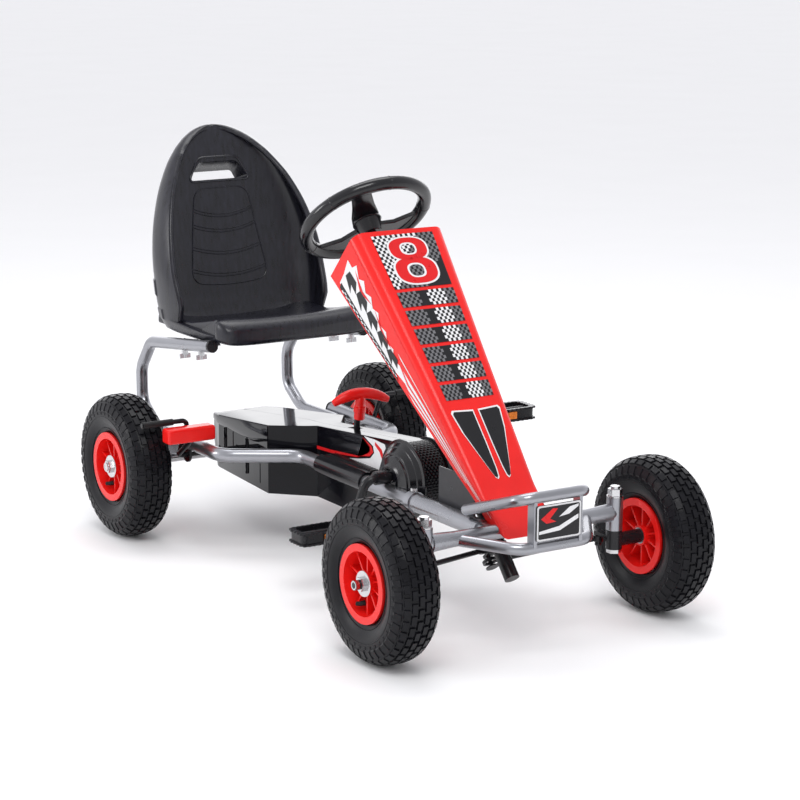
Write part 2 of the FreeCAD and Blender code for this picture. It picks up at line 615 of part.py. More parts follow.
def lever_handle():
    """Drooping T-shaped grip on a socket."""
    tips = [V(LEVER_X - 47, LEVER_Y - 4, 297), V(LEVER_X - 2, LEVER_Y - 16, 313), V(LEVER_X + 47, LEVER_Y - 22, 298)]
    line = Part.Wire([Part.Arc(*tips).toShape()])
    disc = Part.Wire([Part.makeCircle(10.5, tips[0], line.Edges[0].tangentAt(line.Edges[0].FirstParameter))])
    bar = line.makePipeShell([disc], True, False)
    balls = [Part.makeSphere(10.5, tip) for tip in (tips[0], tips[2])]
    foot, top = V(LEVER_X, LEVER_Y, LEVER_Z), V(LEVER_X - 2, LEVER_Y - 14, 296)
    low = foot + (top - foot) * 0.62
    socket = rod(11, low, tips[1])
    return bar.multiFuse(balls + [socket]).cut(rod(6.02, foot, top))


def make_drive():
    right, left = chain_case()
    save("chain_case_right", right)
    save("chain_case_left", left)
    save("chain", chain_loop())
    save("frame_bearings", *frame_bearings())
    save("crank", crank())
    save("chainring", toothed_disc(RING_TEETH, CRANK_Y, CRANK_Z, CRANK_BAR_R))
    for name, side in (("right", -1), ("left", 1)):
        save("pedal_" + name, pedal(side))
        save("pedal_reflectors_" + name, *reflectors(side))
    save("rear_axle", rear_axle())
    save("rear_sprocket", toothed_disc(SPROCKET_TEETH, REAR_Y, TYRE_R, AXLE_R))
    save("rear_axle_nuts", *(axle_nut(-1, REAR_X, REAR_Y) + axle_nut(1, REAR_X, REAR_Y)))
    save("gear_lever_rod", gear_lever())
    save("gear_lever_handle", lever_handle())
    save("gear_lever_pivot", lever_pivot())


# Hand brake -----------------------------------------------------------------

def brake_bar():
    """One bent rod: shaft through the frame, two arms and a bar before each rear tyre."""
    outer = 308.0
    points = [V(-outer, BRAKE_BAR_Y, BRAKE_BAR_Z), V(-BRAKE_ARM_X, BRAKE_BAR_Y, BRAKE_BAR_Z),
              V(-BRAKE_ARM_X, BRAKE_Y, BRAKE_Z), V(BRAKE_ARM_X, BRAKE_Y, BRAKE_Z),
              V(BRAKE_ARM_X, BRAKE_BAR_Y, BRAKE_BAR_Z), V(outer, BRAKE_BAR_Y, BRAKE_BAR_Z)]
    bar = swept(points, [14, 9, 9, 14], BRAKE_ROD_R)
    return bar.fuse(rod(BRAKE_LEVER_R, BRAKE_LEVER_FOOT, BRAKE_LEVER_TOP))


def brake_sleeves():
    low, high = BRAKE_ARM_X + 32, 306.0
    tubes = []
    for side in (-1, 1):
        start, end = [V(side * x, BRAKE_BAR_Y, BRAKE_BAR_Z) for x in (low, high)]
        tubes.append(ring(6.2, BRAKE_ROD_R + 0.02, start, end))
    return tubes


def brake_grip():
    """Rounded block handle that lies across the top of the lever."""
    block = box(-272, -174, 265, 295, 203, 231)
    block = block.makeFillet(5, block.Edges)
    return block.cut(rod(BRAKE_LEVER_R + 0.02, BRAKE_LEVER_FOOT, BRAKE_LEVER_TOP))


def make_brake():
    save("brake_bar", brake_bar())
    save("brake_sleeves", *brake_sleeves())
    save("brake_grip", brake_grip())


# Steering -------------------------------------------------------------------

def along_column(distance):
    return COLUMN_FOOT + COLUMN_AXIS * distance


def steering_column():
    """Inner shaft with a thick lower end."""
    shaft = rod(COLUMN_R, along_column(0), along_column(712))
    foot = rod(13, along_column(0), along_column(DROP_ARM_AT - 2.1))
    shoulder = rod(13, along_column(DROP_ARM_AT + 2.1), along_column(DROP_ARM_AT + 19))
    return shaft.multiFuse([foot, shoulder])


def drop_arm():
    """Flat arm across the column with one ball stud for both tie rods."""
    low, high = along_column(DROP_ARM_AT - 2), along_column(DROP_ARM_AT + 2)
    tip = ARM_DIR * DROP_ARM
    blade = rod(15, low, high).fuse(rod(9, low + tip, high + tip))
    side = X * 9
    web = Part.Face(Part.makePolygon([low - side, low + side, low + side + tip, low - side + tip, low - side]))
    stud = rod(3.5, along_column(DROP_ARM_AT - 20) + tip, along_column(DROP_ARM_AT + 20) + tip)
    heads = [rod(11.5, along_column(DROP_ARM_AT + at) + tip, along_column(DROP_ARM_AT + at + 2) + tip)
             for at in (-22, 20)]
    return blade.multiFuse([web.extrude(high - low), stud] + heads).cut(rod(COLUMN_R + 0.02, low, high))


def steering_wheel():
    """Round rim, hub, one broad spoke and a filled lower part."""
    rim_ring = Part.makeTorus(STEER_RIM_R, STEER_TUBE_R)
    disc = Part.makeCylinder(STEER_RIM_R, 9, V(0, 0, -5))
    lower = disc.common(box(-130, 130, -130, -34, -10, 10))
    spoke = box(-22, 22, 0, STEER_RIM_R, -5, 4)
    arms = [box(-17, 17, -45, 0, -8, 5)]
    hub = Part.makeCone(30, 24, 14, V(0, 0, -8)).fuse(Part.makeCylinder(20, 26, V(0, 0, -34)))
    wheel = rim_ring.multiFuse([lower, spoke, hub] + arms)
    wheel = wheel.cut(Part.makeCylinder(COLUMN_R + 0.02, 40, V(0, 0, -36)))
    wheel.rotate(V(0, 0, 0), Z, STEER_ROLL)
    turn = FreeCAD.Rotation(X * -1, ARM_DIR * -1, COLUMN_AXIS, "ZXY")
    wheel.Placement = FreeCAD.Placement(WHEEL_CENTRE, turn).multiply(wheel.Placement)
    return wheel


def steering_cap():
    return rod(18, WHEEL_CENTRE + COLUMN_AXIS * 6.1, WHEEL_CENTRE + COLUMN_AXIS * 12)


def knuckle(side):
    """Kingpin boss, stub axle with its shoulder, and the arm for the tie rod."""
    x = side * KINGPIN_X
    top = HOUSING_LOW - GAP
    boss = rod(14, V(x, FRONT_Y, 121), V(x, FRONT_Y, top))
    stub = rod(AXLE_R, V(x, FRONT_Y, TYRE_R), V(side * AXLE_END, FRONT_Y, TYRE_R))
    shoulder = rod(12, V(x, FRONT_Y, TYRE_R), V(side * (FRONT_X - HUB_HALF - GAP), FRONT_Y, TYRE_R))
    ball = V(x, FRONT_Y + KNUCKLE_ARM, BALL_Z)
    arm = box(x - 8, x + 8, FRONT_Y, ball.y, 136, 142).fuse(rod(8, V(x, ball.y, 136), V(x, ball.y, 142)))
    stud = rod(3.5, V(x, ball.y, 118), V(x, ball.y, 136))
    head = rod(5.5, V(x, ball.y, 116), V(x, ball.y, 120))
    shape = boss.multiFuse([stub, shoulder, arm, stud, head])
    return shape.cut(rod(KINGPIN_R + 0.02, V(x, FRONT_Y, 100), V(x, FRONT_Y, 160)))


def kingpin(side):
    """Kingpin bolt with its top nut, and the nut and washer that hold the wheel."""
    x = side * KINGPIN_X
    shaft = rod(KINGPIN_R, V(x, FRONT_Y, 121), V(x, FRONT_Y, 230))
    head = hexagon(22, V(x, FRONT_Y, 114), V(x, FRONT_Y, 120.9))
    top = HOUSING_HIGH + GAP
    washer = rod(14, V(x, FRONT_Y, top), V(x, FRONT_Y, top + 2))
    nut = hexagon(22, V(x, FRONT_Y, top + 2), V(x, FRONT_Y, top + 14))
    return [shaft.multiFuse([head.fuse(rod(KINGPIN_R, V(x, FRONT_Y, 118), V(x, FRONT_Y, 122))), washer, nut])] \
        + axle_nut(side, FRONT_X, FRONT_Y)


def tie_rod(side):
    """Rod from the knuckle arm to the drop arm, with a loose eye at the inner end."""
    outer = V(side * KINGPIN_X, FRONT_Y + KNUCKLE_ARM, BALL_Z)
    lift = 12 if side < 0 else -10
    inner = along_column(DROP_ARM_AT + lift) + ARM_DIR * DROP_ARM
    eye_out = ring(9, 3.5 + FIT, outer - Z * 5, outer + Z * 5)
    eye_in = ring(13.5, 10, inner - COLUMN_AXIS * 2.5, inner + COLUMN_AXIS * 2.5)
    way = (outer - inner).normalize()
    bar = rod(4.5, inner + way * 11.5, outer - way * 6)
    hollow = rod(10, inner - COLUMN_AXIS * 9, inner + COLUMN_AXIS * 9)
    pin = rod(3.5 + FIT, outer - Z * 12, outer + Z * 12)
    return eye_out.multiFuse([eye_in, bar]).cut(hollow).cut(pin)


def make_steering():
    save("steering_column", steering_column())
    save("steering_wheel", steering_wheel())
    save("steering_cap", steering_cap())
    save("drop_arm", drop_arm())
    for name, side in (("right", -1), ("left", 1)):
        save("knuckle_" + name, knuckle(side))
        save("kingpin_" + name, *kingpin(side))
        save("tie_rod_" + name, tie_rod(side))


# Seat -----------------------------------------------------------------------

def seat_section(z, half, front, rear, square=3.0):
    """Closed rounded section of the seat at one height."""
    middle, depth = (front + rear) / 2, (rear - front) / 2
    points = []
    for n in range(24):
        angle = 2 * pi * n / 24
        c, s = cos(angle), sin(angle)
        points.append(V(half * abs(c) ** (2 / square) * (1 if c > 0 else -1),
                        middle + depth * abs(s) ** (2 / square) * (1 if s > 0 else -1), z))
    curve = Part.BSplineCurve()
    curve.interpolate(points, PeriodicFlag=True)
    return Part.Wire([curve.toShape()])


def tube_top(y):
    """Height just above the seat tubes, under the seat."""
    return SEAT_FRONT_Z + (SEAT_FRONT_Y - y) * tan(SEAT_TILT) + SEAT_TUBE_R / cos(SEAT_TILT) + GAP


def tilted_slab(y0, y1, low, high):
    """Space between two heights above the seat tubes, across the whole seat."""
    corners = [V(0, y0, tube_top(y0) + low), V(0, y1, tube_top(y1) + low),
               V(0, y1, tube_top(y1) + high), V(0, y0, tube_top(y0) + high)]
    slab = Part.Face(outline(corners)).extrude(X * 400)
    slab.translate(V(-200, 0, 0))
    return slab


def pan_outline(inset):
    """Plan of the seat pan, wider at the back, with rounded rear corners."""
    front, wide = 244.0 + inset, 172.0 - inset
    return Part.Face(outline([
        V(-148 + inset, front, 300), V(-wide, 450, 300), V(-wide, 520, 300),
        (V(-wide + 16, 562 - inset, 300), V(-120, 584 - inset, 300)), V(120, 584 - inset, 300),
        (V(wide - 16, 562 - inset, 300), V(wide, 520, 300)), V(wide, 450, 300), V(148 - inset, front, 300)]))


def seat_base():
    """Moulded pan, open below, with a dished top and a raised front roll."""
    top = [V(0, 200, 300), V(0, 620, 300), V(0, 620, 392), V(0, 560, 392), (V(0, 420, 392), V(0, 300, 423)),
           (V(0, 268, 425), V(0, 243, 408)), V(0, 236, 384), V(0, 200, 384)]
    crown = Part.Face(outline(top)).extrude(X * 400)
    crown.translate(V(-200, 0, 0))
    block = pan_outline(0).extrude(Z * 200).common(crown).common(tilted_slab(200, 620, 0, 200))
    crown.translate(V(0, 4, -5))
    hollow = pan_outline(5).extrude(Z * 200).common(crown)
    seats = [rod(8, V(x, y, 330), V(x, y, 420)) for x in (-SEAT_TUBE_X, SEAT_TUBE_X) for y in SEAT_BOLT_Y]
    pads = Part.makeCompound(seats).common(block)
    return block.cut(hollow).fuse(pads)


def handle_pocket():
    """Hand pocket: wide at the backrest's face, narrowing down to a slot in the back."""
    front = [(-66, 643), (66, 643), (41, 684), (-41, 684)]
    rear = [(-54, 633), (54, 633), (43, 655), (-43, 655)]
    wires = []
    for y, corners in ((530, front), (566, front), (602, rear), (630, rear)):
        wires.append(Part.makePolygon([V(x, y, z) for x, z in corners + corners[:1]]))
    return Part.makeLoft(wires, True, True)


def seat_shell():
    """Bucket: side wings, a leaning backrest and a hollow behind it, open at the front, joined to the pan."""
    outer = [(372, 166, 330, 576), (424, 172, 424, 588), (480, 175, 446, 593), (540, 172, 466, 597),
             (600, 158, 490, 600), (655, 133, 518, 603), (700, 101, 548, 605), (732, 64, 574, 606),
             (747.5, 24, 594, 606.5)]
    leaning = (508, 519, 531, 546, 558, 569, 579, 590, 597)
    inner = [(z, half - 6, front - 130, face) for (z, half, front, rear), face in zip(outer, leaning)]
    inner[0] = (398, 162, 190, 508)
    inner[-1] = (746, 14, 500, 597)
    behind = [(366, 140, 520, 562), (424, 152, 527, 578), (540, 150, 553, 588), (625, 118, 571, 592)]
    back, hollow, cavity = (Part.makeLoft([seat_section(*row, 4.0) for row in rows], True)
                            for rows in (outer, inner, behind))
    shape = back.cut(hollow).common(tilted_slab(150, 640, 0, 500)).fuse(seat_base())
    return shape.cut(cavity).cut(handle_pocket())


def seat_bolts():
    """Bolts through the tube slots, each with a washer and a winged nut below."""
    way = V(0, sin(SEAT_TILT), cos(SEAT_TILT))
    shapes = []
    for side in (-1, 1):
        for y in SEAT_BOLT_Y:
            centre = V(side * SEAT_TUBE_X, y, SEAT_FRONT_Z + (SEAT_FRONT_Y - y) * tan(SEAT_TILT))
            low = centre - way * (SEAT_TUBE_R + 0.6)
            shank = rod(3.1, low - way * 14, centre + way * (SEAT_TUBE_R + GAP * cos(SEAT_TILT) - 0.02))
            nut = hexagon(11, low - way * 7, low)
            wings = box(-11, 11, -1.5, 1.5, -9, 0)
            wings.Placement = FreeCAD.Placement(low - way * 5, FreeCAD.Rotation(X, -degrees(SEAT_TILT)))
            shapes.append(shank.multiFuse([nut, wings]))
    return shapes


def make_seat():
    save("seat_shell", seat_shell())
    save("seat_bolts", *seat_bolts())


os.makedirs("parts", exist_ok=True)
make_wheels()
make_frame()
make_drive()
make_brake()
make_steering()
make_seat()
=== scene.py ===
import json
from math import acos, asin, cos, pi, radians, sin, sqrt

import bmesh
import bpy
from mathutils import Matrix, Vector


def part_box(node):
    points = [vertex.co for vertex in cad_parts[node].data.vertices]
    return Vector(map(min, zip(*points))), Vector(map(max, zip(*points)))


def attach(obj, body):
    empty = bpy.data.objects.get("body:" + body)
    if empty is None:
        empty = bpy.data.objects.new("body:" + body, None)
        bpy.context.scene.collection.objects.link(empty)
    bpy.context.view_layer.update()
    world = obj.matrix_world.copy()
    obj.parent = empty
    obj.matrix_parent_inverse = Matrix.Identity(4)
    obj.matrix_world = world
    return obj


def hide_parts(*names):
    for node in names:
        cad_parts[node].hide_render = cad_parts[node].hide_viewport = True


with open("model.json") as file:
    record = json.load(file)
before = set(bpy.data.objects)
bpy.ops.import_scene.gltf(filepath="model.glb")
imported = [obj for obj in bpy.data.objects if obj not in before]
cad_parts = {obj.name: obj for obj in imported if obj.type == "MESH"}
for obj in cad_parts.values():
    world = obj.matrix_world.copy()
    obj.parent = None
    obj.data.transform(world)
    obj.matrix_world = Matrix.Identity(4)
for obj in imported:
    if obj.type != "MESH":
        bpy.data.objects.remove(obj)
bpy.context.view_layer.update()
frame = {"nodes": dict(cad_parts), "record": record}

# The pieces' lengths are millimetres, scaled when a mesh is finished; camera, lights and floor are
# in metres. +X is the driver's left, -Y is forwards, +Z is up.
MM = 0.001
X, Y, Z = Vector((1, 0, 0)), Vector((0, 1, 0)), Vector((0, 0, 1))

SLOT_OF = {part["node"]: part["material_slot"] for part in frame["record"]["subparts"]}
BODIES = frame["record"]["behaviour"]["bodies"]
BODY_OF = {node: body for body, nodes in BODIES.items() for node in nodes}


def box(node):
    """A node's lowest and highest corner, in millimetres."""
    low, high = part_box(node)
    return Vector(low) / MM, Vector(high) / MM


def middle(node):
    low, high = box(node)
    return (low + high) / 2


# Camera, light and floor ------------------------------------------------------

def make_camera():
    data = bpy.data.cameras.new("camera")
    data.lens, data.sensor_width = 111.04, 36.0
    data.shift_x, data.shift_y = 0.0437, 0.0178
    data.clip_end = 60
    camera = bpy.data.objects.new("camera", data)
    azimuth, elevation, roll = radians(-31.667), radians(12.898), radians(0.192)
    back = Vector((sin(azimuth) * cos(elevation), -cos(azimuth) * cos(elevation), sin(elevation)))
    turn = (-back).to_track_quat("-Z", "Y").to_matrix().to_4x4() @ Matrix.Rotation(roll, 4, "Z")
    camera.matrix_world = Matrix.Translation((-2.278, -3.672, 1.2726)) @ turn
    bpy.context.collection.objects.link(camera)
    bpy.context.scene.camera = camera


def area_light(name, place, target, size, power):
    data = bpy.data.lights.new(name, "AREA")
    data.shape, data.size, data.size_y, data.energy = "RECTANGLE", size[0], size[1], power
    light = bpy.data.objects.new(name, data)
    light.location = place
    light.rotation_euler = (Vector(target) - Vector(place)).to_track_quat("-Z", "Y").to_euler()
    light.visible_camera = False
    bpy.context.collection.objects.link(light)


# Brightness of the room along one axis: (place from -1 as 0 to +1 as 1, brightness)
ROOM_SHADES = (("Y", ((0.0, 0.60), (0.42, 0.78), (0.62, 1.0))),
               ("Z", ((0.0, 1.0), (0.60, 1.0), (0.85, 0.90))))
ROOM_STRENGTH = 1.06
BAND_WAY, BAND_STRENGTH = (0.53, 0.85, 0), 1.2


def fraction(nodes, links, source, low, high):
    """How far a value is from low to high, between 0 and 1."""
    part = nodes.new("ShaderNodeMapRange")
    part.inputs["From Min"].default_value = low
    part.inputs["From Max"].default_value = high
    links.new(source, part.inputs["Value"])
    return part.outputs[0]


def combined(nodes, links, how, first, second):
    """Two colours added or multiplied."""
    mix = nodes.new("ShaderNodeMix")
    mix.data_type, mix.blend_type = "RGBA", how
    mix.inputs["Factor"].default_value = 1.0
    links.new(first, mix.inputs[6])
    links.new(second, mix.inputs[7])
    return mix.outputs[2]


def bright_band(nodes, links, way, split):
    """Extra light from a low band of the room behind the kart."""
    toward = nodes.new("ShaderNodeVectorMath")
    toward.operation = "DOT_PRODUCT"
    toward.inputs[1].default_value = BAND_WAY
    links.new(way.outputs["Generated"], toward.inputs[0])
    total = fraction(nodes, links, toward.outputs["Value"], 0.82, 0.93)
    for low, high in ((0.03, 0.09), (0.46, 0.36)):
        product = nodes.new("ShaderNodeMath")
        product.operation = "MULTIPLY"
        links.new(total, product.inputs[0])
        links.new(fraction(nodes, links, split.outputs["Z"], low, high), product.inputs[1])
        total = product.outputs[0]
    bright = nodes.new("ShaderNodeMath")
    bright.operation = "MULTIPLY"
    bright.inputs[1].default_value = BAND_STRENGTH
    links.new(total, bright.inputs[0])
    return bright.outputs[0]


def make_light():
    """Pale room, brighter behind the kart and at the horizon, with three soft area lights."""
    world = bpy.data.worlds.new("studio")
    world.use_nodes = True
    nodes, links = world.node_tree.nodes, world.node_tree.links
    back = nodes["Background"]
    way = nodes.new("ShaderNodeTexCoord")
    split = nodes.new("ShaderNodeSeparateXYZ")
    links.new(way.outputs["Generated"], split.inputs[0])
    shades = []
    for axis, stops in ROOM_SHADES:
        ramp = nodes.new("ShaderNodeValToRGB")
        marks = ramp.color_ramp.elements
        while len(marks) < len(stops):
            marks.new(0.5)
        for mark, (place, shade) in zip(marks, stops):
            mark.position, mark.color = place, (shade, shade, shade * 1.02, 1)
        links.new(fraction(nodes, links, split.outputs[axis], -1, 1), ramp.inputs[0])
        shades.append(ramp.outputs[0])
    plain = combined(nodes, links, "MULTIPLY", *shades)
    lit = combined(nodes, links, "ADD", plain, bright_band(nodes, links, way, split))
    links.new(lit, back.inputs["Color"])
    back.inputs["Strength"].default_value = ROOM_STRENGTH
    bpy.context.scene.world = world
    area_light("key", (-1.2, -2.2, 3.2), (0, 0, 0.3), (1.8, 1.4), 44)
    area_light("side", (-3.2, 1.6, 1.3), (0, 0.1, 0.45), (0.8, 1.2), 24)
    area_light("top", (0.4, 0.8, 3.2), (0, 0.1, 0.3), (2.2, 1.4), 30)
    bpy.context.scene.view_settings.view_transform = "Standard"


def make_floor():
    reach = 30
    mesh = bpy.data.meshes.new("floor")
    corners = [(-reach, -reach, 0), (reach, -reach, 0), (reach, reach, 0), (-reach, reach, 0)]
    mesh.from_pydata(corners, [], [(0, 1, 2, 3)])
    floor = bpy.data.objects.new("floor", mesh)
    bpy.context.collection.objects.link(floor)
    mesh.materials.append(material("floor_paper", (0.95, 0.95, 0.95), 0.8, mottle=0.01, mottle_scale=3))


# Materials --------------------------------------------------------------------

def material(name, colour, rough, metal=0.0, mottle=0.08, mottle_scale=40, grain=(0, 0),
             stretch=(1, 1, 1), rough_spread=0.08, gleam=0.5):
    """Principled material with mottled colour, uneven gloss and a fine grain in its bump."""
    made = bpy.data.materials.new(name)
    made.use_nodes = True
    made.diffuse_color = (*colour, 1)
    nodes, links = made.node_tree.nodes, made.node_tree.links
    shader = nodes["Principled BSDF"]
    shader.inputs["Metallic"].default_value = metal
    shader.inputs["Specular IOR Level"].default_value = gleam
    way = nodes.new("ShaderNodeTexCoord")
    scale = nodes.new("ShaderNodeMapping")
    scale.inputs["Scale"].default_value = stretch
    links.new(way.outputs["Object"], scale.inputs["Vector"])
    cloud = nodes.new("ShaderNodeTexNoise")
    cloud.inputs["Scale"].default_value = mottle_scale
    cloud.inputs["Detail"].default_value = 4
    links.new(scale.outputs["Vector"], cloud.inputs["Vector"])
    ramp = nodes.new("ShaderNodeValToRGB")
    ramp.color_ramp.elements[0].position, ramp.color_ramp.elements[1].position = 0.3, 0.7
    ramp.color_ramp.elements[0].color = (*[c * (1 - mottle) for c in colour], 1)
    ramp.color_ramp.elements[1].color = (*[min(1, c * (1 + mottle)) for c in colour], 1)
    links.new(cloud.outputs["Fac"], ramp.inputs["Fac"])
    links.new(ramp.outputs["Color"], shader.inputs["Base Color"])
    gloss = nodes.new("ShaderNodeMapRange")
    gloss.inputs["To Min"].default_value = max(0.02, rough - rough_spread)
    gloss.inputs["To Max"].default_value = rough + rough_spread
    links.new(cloud.outputs["Fac"], gloss.inputs["Value"])
    links.new(gloss.outputs["Result"], shader.inputs["Roughness"])
    if grain[1]:
        fine = nodes.new("ShaderNodeTexNoise")
        fine.inputs["Scale"].default_value = grain[0]
        fine.inputs["Detail"].default_value = 3
        links.new(scale.outputs["Vector"], fine.inputs["Vector"])
        bump = nodes.new("ShaderNodeBump")
        bump.inputs["Strength"].default_value = grain[1]
        bump.inputs["Distance"].default_value = 0.6 * MM
        links.new(fine.outputs["Fac"], bump.inputs["Height"])
        links.new(bump.outputs["Normal"], shader.inputs["Normal"])
    return made


def make_materials():
    looks = {
        "frame_silver": material("silver_paint", (0.35, 0.355, 0.38), 0.28, 0.92, 0.05, 12, (700, 0.03),
                                 rough_spread=0.04),
        "black_paint": material("black_paint", (0.012, 0.012, 0.014), 0.25, 0, 0.2, 60, (700, 0.08),
                                gleam=0.35),
        "dark_bracket": material("dark_bracket", (0.028, 0.028, 0.032), 0.3, 0.2, 0.15, 50, (600, 0.1),
                                 gleam=0.4),
        "zinc": material("zinc", (0.62, 0.62, 0.63), 0.22, 1.0, 0.08, 90, (900, 0.08)),
        "steel": material("steel", (0.36, 0.36, 0.38), 0.30, 1.0, 0.1, 90, (900, 0.1)),
        "red_plastic": material("red_plastic", (0.82, 0.012, 0.010), 0.24, 0, 0.04, 30, (500, 0.04),
                                gleam=0.35),
        "black_gloss": material("black_gloss", (0.004, 0.004, 0.006), 0.07, 0, 0.2, 20, (150, 0.03),
                                gleam=0.22, rough_spread=0.03),
        "black_matte": material("black_matte", (0.008, 0.008, 0.010), 0.25, 0, 0.2, 60, (900, 0.12),
                                gleam=0.32),
        "wheel_gloss": material("wheel_gloss", (0.006, 0.006, 0.008), 0.16, 0, 0.2, 40, (700, 0.1),
                                rough_spread=0.04),
        "rubber": material("rubber", (0.010, 0.010, 0.011), 0.5, 0, 0.2, 120, (900, 0.3), gleam=0.3),
        "tyre": material("tyre_rubber", (0.005, 0.005, 0.007), 0.33, 0, 0.3, 60, (900, 0.22), gleam=0.2,
                         rough_spread=0.10),
        "orange": material("orange_lens", (0.80, 0.22, 0.02), 0.2, 0, 0.3, 300, (500, 0.7)),
        "plate": material("plate_black", (0.012, 0.012, 0.014), 0.25, 0, 0.1, 60, (400, 0.05), gleam=0.3),
        "seat_plastic": material("seat_plastic", (0.010, 0.010, 0.016), 0.30, 0, 0.5, 16, (60, 0.10),
                                 (9, 9, 0.6), rough_spread=0.1),
    }
    for name, colour, rough, mottle in (
            ("white_print", (0.80, 0.80, 0.81), 0.3, 0.03), ("black_print", (0.010, 0.010, 0.012), 0.3, 0.1),
            ("grey_print", (0.17, 0.17, 0.18), 0.32, 0.1), ("red_print", (0.70, 0.010, 0.012), 0.3, 0.06)):
        looks[name] = material(name, colour, rough, 0, mottle, 60, (400, 0.03), gleam=0.3)
    return looks


# Mesh tools -------------------------------------------------------------------

def piece(name, mesh, look, body, replaces=(), sharp=35, bevel=0.0, smooth_levels=0):
    """Finish a mesh given in millimetres as one riding piece."""
    mesh.transform(Matrix.Scale(MM, 4))
    made = bpy.data.objects.new(name, mesh)
    bpy.context.collection.objects.link(made)
    mesh.materials.append(LOOKS[look])
    for polygon in mesh.polygons:
        polygon.use_smooth = True
    mesh.set_sharp_from_angle(angle=radians(sharp))
    if bevel:
        soft = made.modifiers.new("bevel", "BEVEL")
        soft.width, soft.segments = bevel * MM, 2
        soft.limit_method, soft.angle_limit = "ANGLE", radians(sharp)
    if smooth_levels:
        soft = made.modifiers.new("smooth", "SUBSURF")
        soft.levels = soft.render_levels = smooth_levels
    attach(made, body)
    if replaces:
        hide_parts(*replaces)
    return made


def mesh_of(verts, faces):
    mesh = bpy.data.meshes.new("mesh")
    mesh.from_pydata([tuple(v) for v in verts], [], faces)
    mesh.update()
    return mesh


def around(count):
    """Angles of one turn."""
    return [2 * pi * n / count for n in range(count)]


def grid(rows, wrap_rows=False, wrap_columns=False):
    """Quads over a list of rows of points."""
    high, wide = len(rows), len(rows[0])
    verts = [point for row in rows for point in row]
    faces = []
    for r in range(high if wrap_rows else high - 1):
        for c in range(wide if wrap_columns else wide - 1):
            r1, c1 = (r + 1) % high, (c + 1) % wide
            faces.append((r * wide + c, r * wide + c1, r1 * wide + c1, r1 * wide + c))
    return verts, faces


def capped(rows):
    """Skin over a list of closed loops of points, with both ends filled."""
    verts, faces = grid(rows, False, True)
    wide = len(rows[0])
    return verts, faces + [tuple(reversed(range(wide))), tuple(range(len(verts) - wide, len(verts)))]


def shell_of(rows):
    """Walled shell: each row runs along its outside and back along its inside."""
    verts, faces = grid(rows, False, True)
    wide = len(rows[0])
    half = wide // 2
    for start in (0, len(verts) - wide):
        for n in range(half - 1):
            loop = (start + n, start + n + 1, start + wide - 2 - n, start + wide - 1 - n)
            faces.append(loop if start else tuple(reversed(loop)))
    return mesh_of(verts, faces)


def joined(parts):
    """One mesh from several lists of points and faces."""
    verts, faces = [], []
    for more, loops in parts:
        start = len(verts)
        verts += more
        faces += [tuple(n + start for n in loop) for loop in loops]
    return verts, faces


def turned(profile, steps, centre):
    """Turn a closed (along, radius) profile about a line parallel to X."""
    rows = []
    for a in around(steps):
        rows.append([centre + Vector((x, r * cos(a), r * sin(a))) for x, r in profile])
    return grid(rows, True, True)


def tube(line, radius, steps, closed=False):
    """Round tube along a list of points; radius may be a function of the fraction along it."""
    size = radius if callable(radius) else (lambda t: radius)
    rows, count = [], len(line)
    side = None
    for n, at in enumerate(line):
        before = line[n - 1] if n or closed else at
        after = line[(n + 1) % count] if n < count - 1 or closed else at
        way = (after - before).normalized()
        side = (way.orthogonal() if side is None else side - way * side.dot(way)).normalized()
        up = way.cross(side)
        reach = size(n / (count - 1))
        rows.append([at + (side * cos(a) + up * sin(a)) * reach for a in around(steps)])
    return grid(rows, True, True) if closed else capped(rows)


def block(corner, reach, height):
    """Tapered six-sided block on a surface: corner(u, v, lift) gives its points."""
    verts = [corner(u, v, 0) for u, v in ((0, 0), (1, 0), (1, 1), (0, 1))]
    verts += [corner(u, v, height) for u, v in
              ((reach, reach), (1 - reach, reach), (1 - reach, 1 - reach), (reach, 1 - reach))]
    return verts, [(4, 5, 6, 7), (0, 1, 5, 4), (1, 2, 6, 5), (2, 3, 7, 6), (3, 0, 4, 7)]


def softened(node, width, look=None):
    """A CAD node's own shape with its edges rounded, to stand for that node."""
    shape = bmesh.new()
    shape.from_mesh(frame["nodes"][node].data)
    bmesh.ops.remove_doubles(shape, verts=shape.verts, dist=0.02 * MM)
    bmesh.ops.dissolve_limit(shape, angle_limit=radians(1.5), verts=shape.verts, edges=shape.edges)
    bmesh.ops.scale(shape, vec=(1 / MM,) * 3, verts=shape.verts)
    mesh = bpy.data.meshes.new(node)
    shape.to_mesh(mesh)
    shape.free()
    piece(node + "_shaped", mesh, look or SLOT_OF[node], BODY_OF[node], (node,), 40, width)


# Wheels -----------------------------------------------------------------------

TREAD_TOP, TREAD_DEEP = 135.2, 3.2
TREAD_MID, SIDE_HALF = 98.0, 41.0
TREAD_RISE = TREAD_TOP - TREAD_DEEP - TREAD_MID
CROWN, SHOULDER_RUN = 0.625, 34
LUGS, LUG_SUNK = 40, 0.4
# Each row of lugs: inner and outer edge, shift round the tyre, length as a share of the pitch
LUG_ROWS = [(1.1, 10.6, 0.0, 0.80), (12.8, 22.0, 0.5, 0.80), (24.2, 32.4, 0.0, 0.78),
            (34.4, 40.4, 0.5, 0.66)]
WHEELS = ("front_right", "front_left", "rear_right", "rear_left")
AXLE_OF = {"front_right": "knuckle_right", "front_left": "knuckle_left", "rear_right": "rear_axle",
           "rear_left": "rear_axle"}


